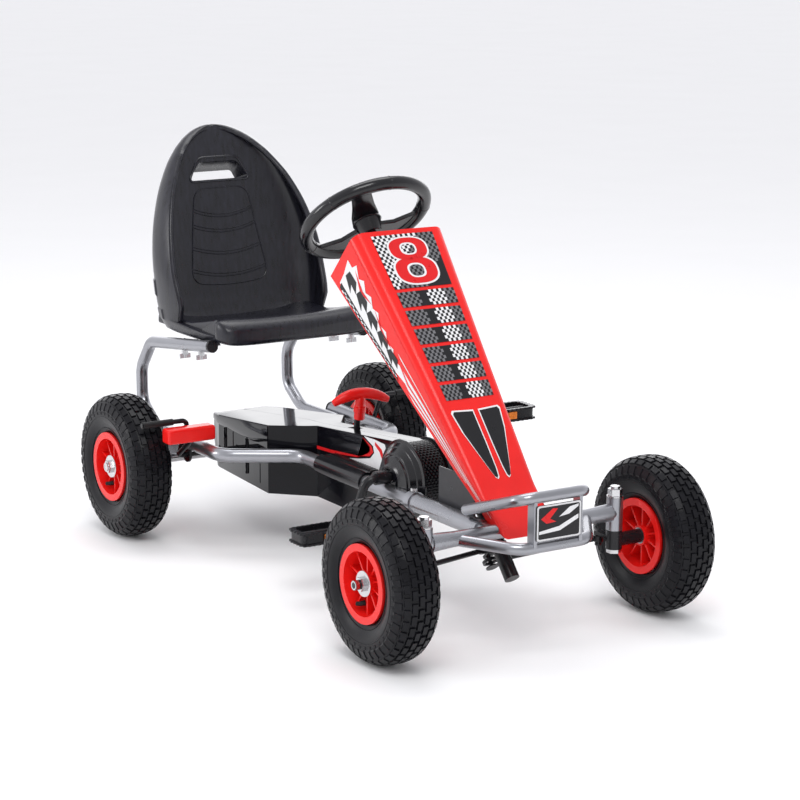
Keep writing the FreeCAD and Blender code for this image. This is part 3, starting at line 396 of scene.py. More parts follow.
def tread_point(x, angle, lift, centre):
    """Point over the tyre's crown; x past the shoulder runs on down the sidewall."""
    t = acos(max(-1, min(1, (abs(x) / SIDE_HALF) ** 1.6)))
    if abs(x) > SIDE_HALF:
        t = (SIDE_HALF - abs(x)) / SHOULDER_RUN
    along = SIDE_HALF * max(cos(t), 0) ** CROWN + lift * cos(t) * 0.45
    radius = TREAD_MID + TREAD_RISE * sin(t) + lift * max(sin(t), 0.12)
    return centre + Vector((along * (1 if x > 0 else -1), radius * cos(angle), radius * sin(angle)))


def tyre_mesh(centre):
    profile = []
    for n in range(25):
        t = pi * n / 24
        reach = abs(cos(t)) ** CROWN * (1 if t < pi / 2 else -1)
        profile.append((SIDE_HALF * reach, TREAD_MID + TREAD_RISE * sin(t)))
    low = [(-40.6, 92), (-39, 85), (-36, 78), (-33, 72), (-31.2, 67), (-29, 65.6), (-24, 65.6)]
    profile += low + [(-x, r) for x, r in reversed(low)]
    parts = [turned(profile, 120, centre)]
    for side in (-1, 1):
        for x0, x1, shift, long in LUG_ROWS:
            for n in range(LUGS):
                start = 2 * pi * (n + shift + (0.5 if side < 0 else 0)) / LUGS
                length = 2 * pi * long / LUGS

                def corner(u, v, lift, side=side, x0=x0, x1=x1, start=start, length=length):
                    x = side * (x0 + (x1 - x0) * u)
                    return tread_point(x, start + length * v, lift - LUG_SUNK, centre)
                parts.append(block(corner, 0.07, TREAD_DEEP + LUG_SUNK))
        for n in range(LUGS):
            for low, high, shift in ((108, 114, 0.0), (99, 105, 0.5)):
                start = 2 * pi * (n + shift) / LUGS

                def pad(u, v, lift, side=side, start=start, low=low, high=high):
                    r = low + (high - low) * u
                    t = asin((r - TREAD_MID) / TREAD_RISE)
                    x = SIDE_HALF * cos(t) ** CROWN - LUG_SUNK + lift
                    a = start + v * 0.075
                    return centre + Vector((side * x, r * cos(a), r * sin(a)))
                parts.append(block(pad, 0.16, 1.3))
        for r, x in ((95.5, 40.9), (73.5, 34.4)):
            line = [centre + Vector((side * x, r * cos(a), r * sin(a))) for a in around(96)]
            parts.append(tube(line, 0.7, 6, True))
    return mesh_of(*joined(parts))


def rim_lips(centre):
    """Rolled edges of the rim on both faces."""
    parts = []
    for side in (-1, 1):
        profile = [(side * (33.5 + 2.6 * cos(a)), 62.5 + 3.0 * sin(a)) for a in around(12)]
        if side > 0:
            profile.reverse()
        parts.append(turned(profile, 96, centre))
    return mesh_of(*joined(parts))


def hub_dish(centre, out):
    """Dished zinc washer under the wheel nut."""
    profile = [(30.4, 9.2), (30.4, 20.5), (31.2, 21.5), (32.0, 20.8), (32.6, 16.0), (31.8, 12.5),
               (31.8, 9.2)]
    return mesh_of(*turned([(out * x, r) for x, r in profile], 48, centre))


def axle_end(centre, out, tip):
    """Hollow plated end of the axle outside its nut."""
    x0, x1 = 42.0, abs(tip - centre.x)
    profile = [(x0, 8.1), (x1 - 0.8, 8.1), (x1 + 0.1, 7.4), (x1 + 0.1, 5.4), (x1 - 0.2, 5.0), (x0, 5.0)]
    return mesh_of(*turned([(out * x, r) for x, r in profile], 32, centre))


def make_wheels():
    for name in WHEELS:
        centre = middle("tyre_" + name)
        body = BODY_OF["tyre_" + name]
        piece("tread_" + name, tyre_mesh(centre), "tyre", body, ("tyre_" + name,), 28)
        softened("rim_" + name, 1.0)
        piece("rim_lips_" + name, rim_lips(centre), "red_plastic", body)
        out = -1 if "right" in name else 1
        piece("hub_dish_" + name, hub_dish(centre, out), "zinc", body)
        holder = AXLE_OF[name]
        low, high = box(holder)
        end = axle_end(centre, out, low.x if out < 0 else high.x)
        piece("axle_end_" + name, end, "zinc", BODY_OF[holder])
        foot = centre + Vector((out * 20, 12, -36))
        valve = tube([foot, foot + Vector((out * 7, 2, -1)), foot + Vector((out * 12, 8, -2))],
                     lambda t: 4.6 - 1.2 * t, 12)
        piece("valve_" + name, mesh_of(*valve), "rubber", body)


# Seat -------------------------------------------------------------------------

# Height, half width, front of the side wing, back of the shell, face of the leaning backrest.
# Above ARCH_FOOT the half width follows an ellipse instead.
SEAT_ROWS = [
    (372, 154, 300, 556, 498), (376, 160, 292, 566, 500), (391, 165, 288, 577, 506),
    (395, 166, 438, 579, 508), (424, 169, 428, 586, 519), (480, 172, 448, 592, 531),
    (540, 169, 468, 596, 546), (600, 155, 492, 599, 558), (655, 130, 520, 602, 569),
    (700, 98, 550, 604, 579), (718, 80, 565, 605, 585), (732, 59, 578, 606, 590),
    (740, 41, 587, 606, 593), (744.5, 26, 592, 606, 596), (747, 8, 596, 606, 599)]
WING_FOOT, SEAT_TOP = 395, 747
SEAT_ACROSS = 120
SMOOTH_FROM = 4
ARCH_FOOT, ARCH_TOP, ARCH_HALF = 480.0, 747.5, 172.0
SEAT_WALL = 6.0
# Share of the way round to where a wing starts, and how square the corners are (1 is round)
SEAT_BEND = 0.62
CORNER_OUT, CORNER_IN = 0.75, 0.62


def curve_through(rows, height):
    """Values of a table's columns at one height."""
    k = max(n for n in range(len(rows)) if rows[n][0] <= height or n == 0)
    k = min(k, len(rows) - 2)
    start, end = rows[k], rows[k + 1]
    t = (height - start[0]) / (end[0] - start[0])
    if k < SMOOTH_FROM:
        return [a + (b - a) * t for a, b in zip(start[1:], end[1:])]
    before, after = rows[k - 1], rows[min(k + 2, len(rows) - 1)]
    return [b + 0.5 * t * (c - a + t * (2 * a - 5 * b + 4 * c - d + t * (3 * (b - c) + d - a)))
            for a, b, c, d in zip(before[1:], start[1:], end[1:], after[1:])]


def seat_section(height, s, inner=False):
    """Point on the shell at one height; s runs from -1 at one wing's tip to 1 at the other's."""
    half, front, rear, face = curve_through(SEAT_ROWS, height)
    if height > ARCH_FOOT:
        half = ARCH_HALF * sqrt(1 - ((height - ARCH_FOOT) / (ARCH_TOP - ARCH_FOOT)) ** 2)
    power = CORNER_IN if inner else CORNER_OUT
    if inner:
        half, rear = half - SEAT_WALL, face
    turn_y = rear - min(110, 0.75 * (rear - front))
    t = abs(s)
    if t < SEAT_BEND:
        angle = t / SEAT_BEND * pi / 2
        x, y = half * sin(angle) ** power, turn_y + (rear - turn_y) * max(cos(angle), 0) ** power
    else:
        run = (t - SEAT_BEND) / (1 - SEAT_BEND)
        x, y = half - 5 * run * run, turn_y + (front - turn_y) * run
    return Vector((x if s > 0 else -x, y, height))


def seat_back():
    """Bucket shell with wrapped sides, cut by the hand pocket."""
    heights = [372, 373.5, 376, 381, 386, 391, WING_FOOT]
    heights += [WING_FOOT + (SEAT_TOP - WING_FOOT) * sin(pi / 2 * n / 90) for n in range(1, 91)]
    across = [2 * n / SEAT_ACROSS - 1 for n in range(SEAT_ACROSS + 1)]
    rows = [[seat_section(h, s) for s in across] + [seat_section(h, s, True) for s in reversed(across)]
            for h in heights]
    made = piece("seat_back", shell_of(rows), "seat_plastic", "seat", ("seat_shell",), 50)
    cut_handle(made)


HANDLE_FRONT = [(-66, 643), (66, 643), (41, 684), (-41, 684)]
HANDLE_REAR = [(-54, 633), (54, 633), (43, 655), (-43, 655)]


def rounded(points, radius, steps=6):
    """Closed flat outline with its corners rounded."""
    line = []
    count = len(points)
    for n in range(count):
        here = Vector(points[n])
        before = (Vector(points[n - 1]) - here).normalized()
        after = (Vector(points[(n + 1) % count]) - here).normalized()
        for k in range(steps + 1):
            t = k / steps
            a, b = here + before * radius * (1 - t) ** 2, here + after * radius * t ** 2
            line.append((a + b) - here)
    return line


def outward(mesh):
    """Turn every face of a mesh to look outwards."""
    shape = bmesh.new()
    shape.from_mesh(mesh)
    bmesh.ops.recalc_face_normals(shape, faces=shape.faces)
    shape.to_mesh(mesh)
    shape.free()


def cut_handle(back):
    """Hand pocket: wide at the backrest's face and narrowing down to a slot in the back."""
    rows = []
    for y, outline, radius in ((540, HANDLE_FRONT, 12), (567, HANDLE_FRONT, 12), (600, HANDLE_REAR, 7),
                               (640, HANDLE_REAR, 7)):
        rows.append([Vector((p.x, y, p.y)) for p in rounded(outline, radius)])
    mesh = mesh_of(*capped(rows))
    mesh.transform(Matrix.Scale(MM, 4))
    outward(mesh)
    cutter = bpy.data.objects.new("cutter", mesh)
    bpy.context.collection.objects.link(cutter)
    hole = back.modifiers.new("hole", "BOOLEAN")
    hole.operation, hole.object, hole.solver = "DIFFERENCE", cutter, "EXACT"
    depsgraph = bpy.context.evaluated_depsgraph_get()
    done = bpy.data.meshes.new_from_object(back.evaluated_get(depsgraph))
    back.modifiers.clear()
    back.data = done
    done.set_sharp_from_angle(angle=radians(50))
    bpy.data.objects.remove(cutter)


def back_surface(x, z, lift):
    """Point on the backrest's face, lifted towards the driver."""
    low, high = 0.0, SEAT_BEND
    for _ in range(24):
        s = (low + high) / 2
        if seat_section(z, s, True).x < abs(x):
            low = s
        else:
            high = s
    return Vector((x, seat_section(z, low, True).y - lift, z))


def seat_lines():
    """Raised lines moulded in the backrest: a rounded panel and four double sagging lines."""
    parts = []
    panel = rounded([(-85, 452), (85, 452), (58, 628), (-58, 628)], 26, 10)
    dense = []
    for n, a in enumerate(panel):
        b = panel[(n + 1) % len(panel)]
        count = max(1, int((b - a).length / 8))
        dense += [a.lerp(b, k / count) for k in range(count)]
    line = [back_surface(p.x, p.y - 9 * (1 - (p.x / 90) ** 2) * (p.y < 470), 0.4) for p in dense]
    parts.append(tube(line, 1.2, 8, True))
    for z, half in ((590, 64), (561, 69), (519, 75), (477, 81)):
        for drop in (0, 5.5):
            points = [(half * (n / 12 - 1), z - drop - 13 * (1 - (n / 12 - 1) ** 2)) for n in range(25)]
            parts.append(tube([back_surface(px, pz, 0.4) for px, pz in points], 1.1, 8))
    piece("seat_lines", mesh_of(*joined(parts)), "seat_plastic", "seat")


def seat_rims():
    """Rolled band along the opening's edge and round the hand pocket."""
    heights = [WING_FOOT + (ARCH_FOOT - WING_FOOT) * n / 12 for n in range(12)]
    inset, step_in = 6.2, 11.2

    def edge(height, side):
        return seat_section(height, side) + Vector((-side * inset, 3, 0))

    rise = ARCH_TOP - 0.5 - ARCH_FOOT

    def arch(angle):
        y = seat_section(ARCH_FOOT + rise * sin(angle), 1).y + 3
        return Vector(((ARCH_HALF - step_in) * -cos(angle), y, ARCH_FOOT + (rise - inset) * sin(angle)))
    line = [edge(height, -1) for height in heights] + [arch(pi * k / 96) for k in range(97)]
    line += [edge(height, 1) for height in reversed(heights)]
    piece("seat_rim", mesh_of(*tube(line, 5.6, 16)), "seat_plastic", "seat")
    pocket = rounded([(-68, 641), (68, 641), (43, 686), (-43, 686)], 13)
    line = [back_surface(p.x, p.y, -0.6) for p in pocket]
    piece("seat_pocket_lip", mesh_of(*tube(line, 2.6, 10, True)), "seat_plastic", "seat")


PAN_FRONT, PAN_BACK = 245.5, 540


def seat_pan():
    """Moulded pan: thick front roll across the seat, raised sides and a dished middle."""
    rows = []
    for n in range(49):
        t = n / 48
        y = PAN_FRONT + (PAN_BACK - PAN_FRONT) * t
        half = 150 + 16 * min(1, max(0, (y - 246) / 30)) ** 0.6 - 12 * min(1, max(0, (y - 280) / 25))
        ends = 1 - 0.10 * max(0, 1 - (y - PAN_FRONT) / 10) ** 2
        low = 374 + 10 * max(0, 1 - (y - PAN_FRONT) / 18) ** 2
        crown = 425 - 32 * min(1, max(0, (y - 285) / 120)) ** 0.8
        crown -= 20 * max(0, 1 - (y - PAN_FRONT) / 30) ** 2
        centre, tall = (low + crown) / 2, (crown - low) / 2
        row = []
        for a in around(64):
            x = half * ends * abs(cos(a)) ** 0.34 * (1 if cos(a) > 0 else -1)
            z = centre + tall * abs(sin(a)) ** 0.5 * (1 if sin(a) > 0 else -1)
            if sin(a) > 0:
                edge = abs(x) / half
                z += (12 * edge ** 3 - 8 * (1 - edge ** 2)) * min(1, t * 5) * min(1, abs(sin(a)) * 3)
            row.append(Vector((x, y, z)))
        rows.append(row)
    piece("seat_pan", mesh_of(*capped(rows)), "seat_plastic", "seat", (), 60, 0, 1)


GUSSET = ((262, 392), (272, 421), (292, 423), (348, 398), (348, 388))


def seat_tabs():
    """Two raised catches on each back corner, and a gusset from each low side wall to the front roll."""
    parts = []
    for side in (-1, 1):
        for low, high, start, end in ((432, 468, 0.46, 0.53), (392, 414, 0.50, 0.59)):
            def corner(u, v, lift, side=side, low=low, high=high, start=start, end=end):
                at = seat_section(low + (high - low) * v, side * (start + (end - start) * u))
                return at + Vector((side, 0.35, 0)).normalized() * (lift - 0.5)
            parts.append(block(corner, 0.12, 3.0))
        parts.append(capped([[Vector((side * x, y, z)) for y, z in GUSSET] for x in (136, 157)]))
    mesh = mesh_of(*joined(parts))
    outward(mesh)
    piece("seat_tabs", mesh, "seat_plastic", "seat", (), 30, 0.6)


def make_seat():
    seat_back()
    seat_lines()
    seat_tabs()
    seat_rims()
    seat_pan()


# Hood -------------------------------------------------------------------------

# Front edge (y, z), back edge (y, z), half width and corner radius, from the top down
HOOD_ROWS = [((-89.9, 629.3), (-13.3, 544.4), 93, 21), ((-432.5, 240), (-356, 262.9), 57, 12),
             ((-470, 207), (-413.8, 223.6), 54, 9), ((-502.4, 178.6), (-447, 193.5), 52, 6)]
HOOD_WALL, HOOD_BULGE = 3.0, 1.2


def hood_row(t):
    """Front point, back point, half width and corner at a fraction along the hood."""
    lengths = [0.0]
    for upper, lower in zip(HOOD_ROWS, HOOD_ROWS[1:]):
        lengths.append(lengths[-1] + (Vector(lower[0]) - Vector(upper[0])).length)
    at = t * lengths[-1]
    k = min(max(n for n in range(len(lengths)) if lengths[n] <= at + 1e-6), len(lengths) - 2)
    u = (at - lengths[k]) / (lengths[k + 1] - lengths[k])
    upper, lower = HOOD_ROWS[k], HOOD_ROWS[k + 1]
    front = Vector(upper[0]).lerp(Vector(lower[0]), u)
    back = Vector(upper[1]).lerp(Vector(lower[1]), u)
    return (Vector((0, front.x, front.y)), Vector((0, back.x, back.y)),
            upper[2] + (lower[2] - upper[2]) * u, upper[3] + (lower[3] - upper[3]) * u)


def hood_outline(t, inset):
    """Points across the hood from the right back edge over the front to the left back edge."""
    front, back, half, corner = hood_row(t)
    way, depth = (back - front).normalized(), (back - front).length
    half, corner = half - inset, max(corner - inset * 0.6, 2)
    flat = [(half, depth * (1 - n / 6)) for n in range(6)] + [(half, corner)]
    bend = [(half - corner + corner * cos(a), corner - corner * sin(a))
            for a in [pi / 2 * n / 6 for n in range(1, 7)]]
    right = [(x, max(v, 0) + inset * (1 if v < depth * 0.99 else 0)) for x, v in flat + bend]
    across = [(-x, v) for x, v in right] + [((half - corner) * k / 4, inset) for k in range(-3, 4)]
    across += [(x, v) for x, v in reversed(right)]
    crown = HOOD_BULGE * (1 - inset / HOOD_WALL)
    points = []
    for x, v in across:
        bulge = crown * max(0, 1 - (x / half) ** 2) if v < corner + 1 else 0
        points.append(front + way * (v - bulge * 0.6) + X * x)
    return points


def hood_front(t, s, lift):
    """Point on the hood's front face; s runs from -1 at the right to 1 at the left."""
    front, back, half, corner = hood_row(t)
    out = (front - back).normalized()
    x = s * (half - corner)
    return front + out * (lift + HOOD_BULGE * (1 - (x / half) ** 2)) + X * x


def hood_side(t, v, side, lift):
    """Point on a side face; v runs from 0 at the front corner to 1 at the back edge."""
    front, back, half, corner = hood_row(t)
    way, depth = (back - front).normalized(), (back - front).length
    return front + way * (corner + (depth - corner - 2) * v) + X * side * (half + lift)


def hood_shell():
    """Tapering three-sided hood, open at the back."""
    rows = []
    steps = 48
    for n in range(steps + 1):
        t = n / steps
        outer, inner = hood_outline(t, 0), hood_outline(t, HOOD_WALL)
        rows.append(outer + list(reversed(inner)))
    piece("hood_shell", shell_of(rows), "red_plastic", "frame", ("hood",), 50, 0.8)


def patch(surface, outline, steps=1):
    """Thin decal: a polygon in the surface's own two coordinates."""
    points = []
    count = len(outline)
    for n in range(count):
        a, b = outline[n], outline[(n + 1) % count]
        for k in range(steps):
            points.append((a[0] + (b[0] - a[0]) * k / steps, a[1] + (b[1] - a[1]) * k / steps))
    return [surface(*p) for p in points], [tuple(range(len(points)))]


def strip(surface, t0, t1, s0, s1, columns=6):
    """Thin decal rectangle that follows the surface across."""
    rows = [[surface(t, s0 + (s1 - s0) * k / columns) for k in range(columns + 1)] for t in (t0, t1)]
    return grid(rows)


def decal(name, parts, look):
    """Flat printed film from several patches."""
    mesh = mesh_of(*joined(parts))
    outward(mesh)
    made = piece(name, mesh, look, "frame")
    for polygon in mesh.polygons:
        polygon.use_smooth = False
    thick = made.modifiers.new("film", "SOLIDIFY")
    thick.thickness, thick.offset = 0.2 * MM, 0


def hood_lifted(lift):
    return lambda t, s: hood_front(t, s, lift)


# Left vent as fractions along and across the hood's front
VENT = [(0.598, 0.13), (0.594, 0.82), (0.602, 0.88), (0.66, 0.80), (0.72, 0.62), (0.775, 0.44),
        (0.800, 0.34), (0.806, 0.26), (0.800, 0.20), (0.775, 0.16), (0.70, 0.135)]


def hood_decals():
    """Printed checks, six short bands, two tapered vents and a race number."""
    base, over, top = hood_lifted(0.4), hood_lifted(0.7), hood_lifted(1.0)
    dark, pale, grey = [], [], []
    edge = 0.88
    # Top panel, then short bands: start and end down the hood, rows and columns of checks
    bands = [(0.0165, 0.194, 18, 24)] + [(0.205 + 0.0605 * n, 0.2545 + 0.0605 * n, 5, 22) for n in range(6)]
    for band, (t0, t1, high, cells) in enumerate(bands):
        dark.append(strip(base, t0, t1, -edge, edge))
        for r in range(high):
            for c in range(cells):
                if (r + c) % 2:
                    continue
                s0, s1 = -edge + 2 * edge * c / cells, -edge + 2 * edge * (c + 1) / cells
                a, b = t0 + (t1 - t0) * r / high, t0 + (t1 - t0) * (r + 1) / high
                if band:
                    if 0.0 > s0 > -0.28:
                        continue
                    bright = 0.0 <= s0 < 0.55
                else:
                    # The top panel's checks fade towards its lower left
                    fade = s0 + 1.1 * (r / high)
                    if fade > 1.25:
                        continue
                    bright = fade < 0.35
                (pale if bright else grey).append(strip(over, a, b, s0, s1, 1))
    vents, edges = [], []
    for side in (-1, 1):
        vents.append(patch(over, [(t, side * s) for t, s in VENT], 3))
        mid_t, mid_s = 0.70, 0.45
        grown = [(mid_t + (t - mid_t) * 1.045, side * (mid_s + (s - mid_s) * 1.13)) for t, s in VENT]
        edges.append(patch(base, grown, 3))
    decal("hood_dark_panels", dark, "black_print")
    decal("hood_white_checks", pale, "white_print")
    decal("hood_grey_checks", grey, "grey_print")
    decal("hood_vents", vents, "black_print")
    decal("hood_vent_edges", edges, "white_print")
    figure("hood_number", 0.103, top)


def figure(name, t_mid, surface):
    """Bold race number eight: two closed bands with a red face and a white edge."""
    for part, thick_t, thick_s, shift, look in (("edge", 0.44, 0.52, 0, "white_print"),
                                                ("face", 0.28, 0.385, 0.3, "red_print")):
        bands = []
        for centre, tall, wide in ((t_mid - 0.036, 0.0286, 0.385), (t_mid + 0.036, 0.0335, 0.435)):
            outer, inner = [], []
            for a in around(48):
                c, s = cos(a), sin(a)
                c, s = abs(c) ** 0.8 * (1 if c > 0 else -1), abs(s) ** 0.8 * (1 if s > 0 else -1)
                for ring, way in ((outer, 1), (inner, -1)):
                    t = centre + tall * c * (1 + way * thick_t)
                    ring.append(surface(t, wide * s * (1 + way * thick_s)))
            lift = (hood_front(t_mid, 0, 1) - hood_front(t_mid, 0, 0)) * shift
            bands.append(grid([[p + lift for p in outer], [p + lift for p in inner]], False, True))
        decal(name + "_" + part, bands, look)


# Side prints as fractions along the hood and back from its front corner
SIDE_FIELD = [
    (0.03, 0.30), (0.045, 0.62), (0.05, 0.88), (0.16, 0.93), (0.30, 0.91), (0.42, 0.88), (0.50, 0.70),
    (0.42, 0.52), (0.385, 0.60), (0.36, 0.40), (0.33, 0.50), (0.30, 0.32), (0.265, 0.42), (0.235, 0.23),
    (0.21, 0.34), (0.18, 0.19), (0.155, 0.30), (0.125, 0.15), (0.105, 0.28), (0.07, 0.13), (0.06, 0.30)]
SIDE_BORDER = [(0.055, 0.84), (0.20, 0.87), (0.43, 0.84), (0.47, 0.98), (0.20, 0.985), (0.06, 0.96)]
SIDE_BOLT = [(0.000, 0.02), (-0.005, 0.20), (0.050, 0.36), (0.032, 0.19), (0.070, 0.22), (0.045, 0.00)]
SIDE_RED = [[(0.075, 0.24), (0.14, 0.46), (0.20, 0.30), (0.145, 0.36)],
            [(0.22, 0.30), (0.30, 0.52), (0.36, 0.46), (0.295, 0.42)]]
SIDE_STREAKS = [[(0.44, 0.50), (0.49, 0.60), (0.93, 0.34), (0.93, 0.315)],
                [(0.46, 0.70), (0.51, 0.78), (0.90, 0.47), (0.90, 0.445)],
                [(0.52, 0.86), (0.57, 0.90), (0.86, 0.62), (0.86, 0.60)],
                [(0.38, 0.30), (0.40, 0.335), (0.95, 0.245), (0.95, 0.235)]]


def hood_side_decals():
    """Torn white field with black bolts, a checked border and thin streaks on each side."""
    for side, word in ((-1, "right"), (1, "left")):
        def base(t, v, side=side):
            return hood_side(t, v, side, 0.4)

        def over(t, v, side=side):
            return hood_side(t, v, side, 0.7)

        def above(t, v, side=side):
            return hood_side(t, v, side, 0.9)
        white = [patch(base, SIDE_FIELD, 2)] + [patch(base, streak, 4) for streak in SIDE_STREAKS]
        black = []
        for t, v in ((0.060, 0.40), (0.135, 0.40), (0.210, 0.42), (0.285, 0.44), (0.355, 0.47)):
            black.append(patch(over, [(t + dt, v + dv) for dt, dv in SIDE_BOLT], 2))
        black.append(patch(over, SIDE_BORDER, 4))
        checks = []
        for n in range(28):
            t = 0.075 + 0.0135 * n
            v = 0.895 if n % 2 else 0.93
            checks.append(patch(above, [(t, v), (t + 0.012, v), (t + 0.012, v + 0.03), (t, v + 0.03)]))
        decal("hood_side_white_" + word, white, "white_print")
        decal("hood_side_black_" + word, black, "black_print")
        decal("hood_side_red_" + word, [patch(over, outline, 3) for outline in SIDE_RED], "red_print")
        decal("hood_side_checks_" + word, checks, "white_print")


# Steering wheel ---------------------------------------------------------------

COLUMN_FOOT, WHEEL_CENTRE = Vector((0, -447, 90)), Vector((0, 21.9, 635.5))
COLUMN_AXIS = (WHEEL_CENTRE - COLUMN_FOOT).normalized()
WHEEL_R, GRIP_R = 111.3, 12.2


def wheel_frame():
    up = X.cross(COLUMN_AXIS)
    turn = Matrix((-X, up, COLUMN_AXIS)).transposed().to_4x4()
    return Matrix.Translation(WHEEL_CENTRE) @ turn @ Matrix.Rotation(radians(-30), 4, "Z")


def make_steering_wheel():
    """Ring with four marks, a hub and two flat spokes."""
    place = wheel_frame()
    parts = []
    ring = [Vector((WHEEL_R * cos(a), WHEEL_R * sin(a), 0)) for a in around(96)]
    parts.append(tube(ring, GRIP_R, 20, True))
    for angle in (62, 118, 196, 344):
        a = radians(angle)
        mark = [Vector((WHEEL_R * cos(a + da), WHEEL_R * sin(a + da), 0)) for da in (-0.012, 0.0, 0.012)]
        parts.append(tube(mark, GRIP_R + 0.5, 20))
    for z0, z1, r0, r1 in ((-34, -10, 18, 26), (-10, 6, 27, 24)):
        rows = [[Vector((r * cos(a), r * sin(a), z)) for a in around(40)] for z, r in ((z0, r0), (z1, r1))]
        parts.append(capped(rows))
    mesh = mesh_of(*joined(parts))
    mesh.transform(place)
    piece("wheel_grip", mesh, "wheel_gloss", "steering", ("steering_wheel",), 40, 1.2)
    plates = []
    for outline in (
            [(-25, 8), (25, 8), (20, 50), (17, 104), (-17, 104), (-20, 50)],
            [(-20, -10), (-20, -34), (-50, -48), (-98, -44), (-84, -70), (-50, -98), (0, -109), (50, -98),
             (84, -70), (98, -44), (50, -48), (20, -34), (20, -10)]):
        count = len(outline)
        verts = [Vector((x, y, z)) for z in (-4.5, 3.5) for x, y in outline]
        faces = [tuple(reversed(range(count))), tuple(range(count, 2 * count))]
        faces += [(n, (n + 1) % count, (n + 1) % count + count, n + count) for n in range(count)]
        plates.append((verts, faces))
    mesh = mesh_of(*joined(plates))
    mesh.transform(place)
    piece("wheel_spokes", mesh, "wheel_gloss", "steering", (), 40, 1.6)
    softened("steering_cap", 1.5)


# Chain case -------------------------------------------------------------------

DRUM_Y, DRUM_Z, DRUM_R = -160.0, 200.0, 66.0
CASE_SIDES = ((-1, -31.0, "right"), (1, 20.0, "left"))
# Stepped drum covers: how far out, radius
BOSS_STEPS = {
    "right": [(0, 72.6), (3.6, 72.6), (4.6, 66.7), (11, 60.6), (11.6, 58.9), (20.5, 50.8), (21.5, 46.8),
              (24.5, 45.8), (27.5, 34.8), (28.4, 31.8), (30.3, 28.0), (30.3, 26.4), (8, 26.4)],
    "left": [(0, 70.6), (3.6, 70.6), (5.5, 62.7), (12.5, 46.8), (14.5, 30.8), (18.3, 28), (18.3, 26.4),
             (6, 26.4)]}


def drum_grip():
    """Fine crossed pattern moulded into the round front of the case."""
    rows = []
    start, end = 86, 232
    for n in range(121):
        a = radians(start + (end - start) * n / 120)
        row = []
        for k in range(25):
            x = -28 + 45 * k / 24
            r = DRUM_R + 0.25 + (0.8 if n % 4 and (k + 2 * (n // 4)) % 4 else 0.0)
            row.append(Vector((x, DRUM_Y + r * cos(a), DRUM_Z + r * sin(a))))
        rows.append(row)
    made = piece("case_drum_grip", mesh_of(*grid(rows)), "black_gloss", "frame")
    thick = made.modifiers.new("skin", "SOLIDIFY")
    thick.thickness, thick.offset = 0.6 * MM, 1


def drum_bosses():
    """Stepped round covers on both faces of the drum."""
    axis = Vector((0, DRUM_Y, DRUM_Z))
    for side, face, word in CASE_SIDES:
        steps = BOSS_STEPS[word]
        mesh = mesh_of(*turned([(face + side * along, radius) for along, radius in steps], 96, axis))
        outward(mesh)
        piece("case_boss_" + word, mesh, "wheel_gloss", "frame", (), 25, 0.7)


def case_decals():
    """Generic swoosh and pale field on the case beside the drum, the same on both sides."""
    field = [(80, 191), (-10, 207), (-48, 216), (-61, 228), (-57, 240), (-26, 252), (-62, 253), (-96, 251),
             (-104, 236), (-98, 206), (-86, 190)]
    swoosh = [(150, 200), (90, 203), (-10, 212), (-46, 219), (-58, 229), (-52, 239), (-22, 249), (-47, 236),
              (-47, 229), (-40, 223), (-5, 208.5), (90, 197), (150, 194)]
    stroke = [(-64, 249), (-86, 240), (-99, 218), (-93, 214), (-80, 233), (-64, 243)]
    prints = (("field", field, 0.3, "white_print"), ("swoosh", swoosh, 0.5, "red_print"),
              ("stroke", stroke, 0.6, "red_print"))
    for side, face, word in CASE_SIDES:
        for name, outline, lift, look in prints:
            points = [Vector((face + side * lift, y, z)) for y, z in outline]
            loop = tuple(range(len(points)))
            decal("case_" + name + "_" + word, [(points, [loop])], look)


KINK_Y, KINK_TOP = 205, 233.5
CASE_FALL, CASE_RUN = 29.5, 255


def case_top(y):
    """Height of the case's top behind its kink."""
    return KINK_TOP - (y - KINK_Y) * CASE_FALL / CASE_RUN


def case_trim():
    """Overhanging lid edge and upright ribs on the walls behind the kink."""
    parts = []
    walls = ((-1, ((-98, 204), (-80, 430), (-66, 474))), (1, ((66, 204), (54, 430), (42, 474))))
    for side, wall in walls:
        rows = []
        for x, y in wall:
            top = case_top(y)
            lid = ((-0.5, 190), (1.6, 190), (2.1, 191), (2.1, top - 4), (1.2, top - 1.5), (-0.5, top - 1))
            rows.append([Vector((x + side * out, y, z)) for out, z in lid])
        parts.append(capped(rows))
        start, end = Vector((*wall[0], 0)), Vector((*wall[1], 0))
        for t, wide in ((0.16, 2.0), (0.42, 7.0), (0.70, 2.0), (0.86, 7.0)):
            foot = start.lerp(end, t)
            parts.append(tube([foot + Z * (112 + 20 * t), foot + Z * 188], wide / 2, 8))
    mesh = mesh_of(*joined(parts))
    outward(mesh)
    piece("case_trim", mesh, "black_gloss", "frame", (), 30)


def make_case():
    softened("chain_case_right", 1.6)
    softened("chain_case_left", 1.6)
    drum_grip()
    drum_bosses()
    case_trim()
    case_decals()


# Controls, pedals, plate ------------------------------------------------------

def plate_between(outer, inner, z0, z1):
    """Flat ring between two outlines of equal count, from height z0 to z1."""
    loops = ((outer, z0), (outer, z1), (inner, z1), (inner, z0))
    rows = [[Vector((*p, z)) for p in line] for line, z in loops]
    return grid(rows, True, True)


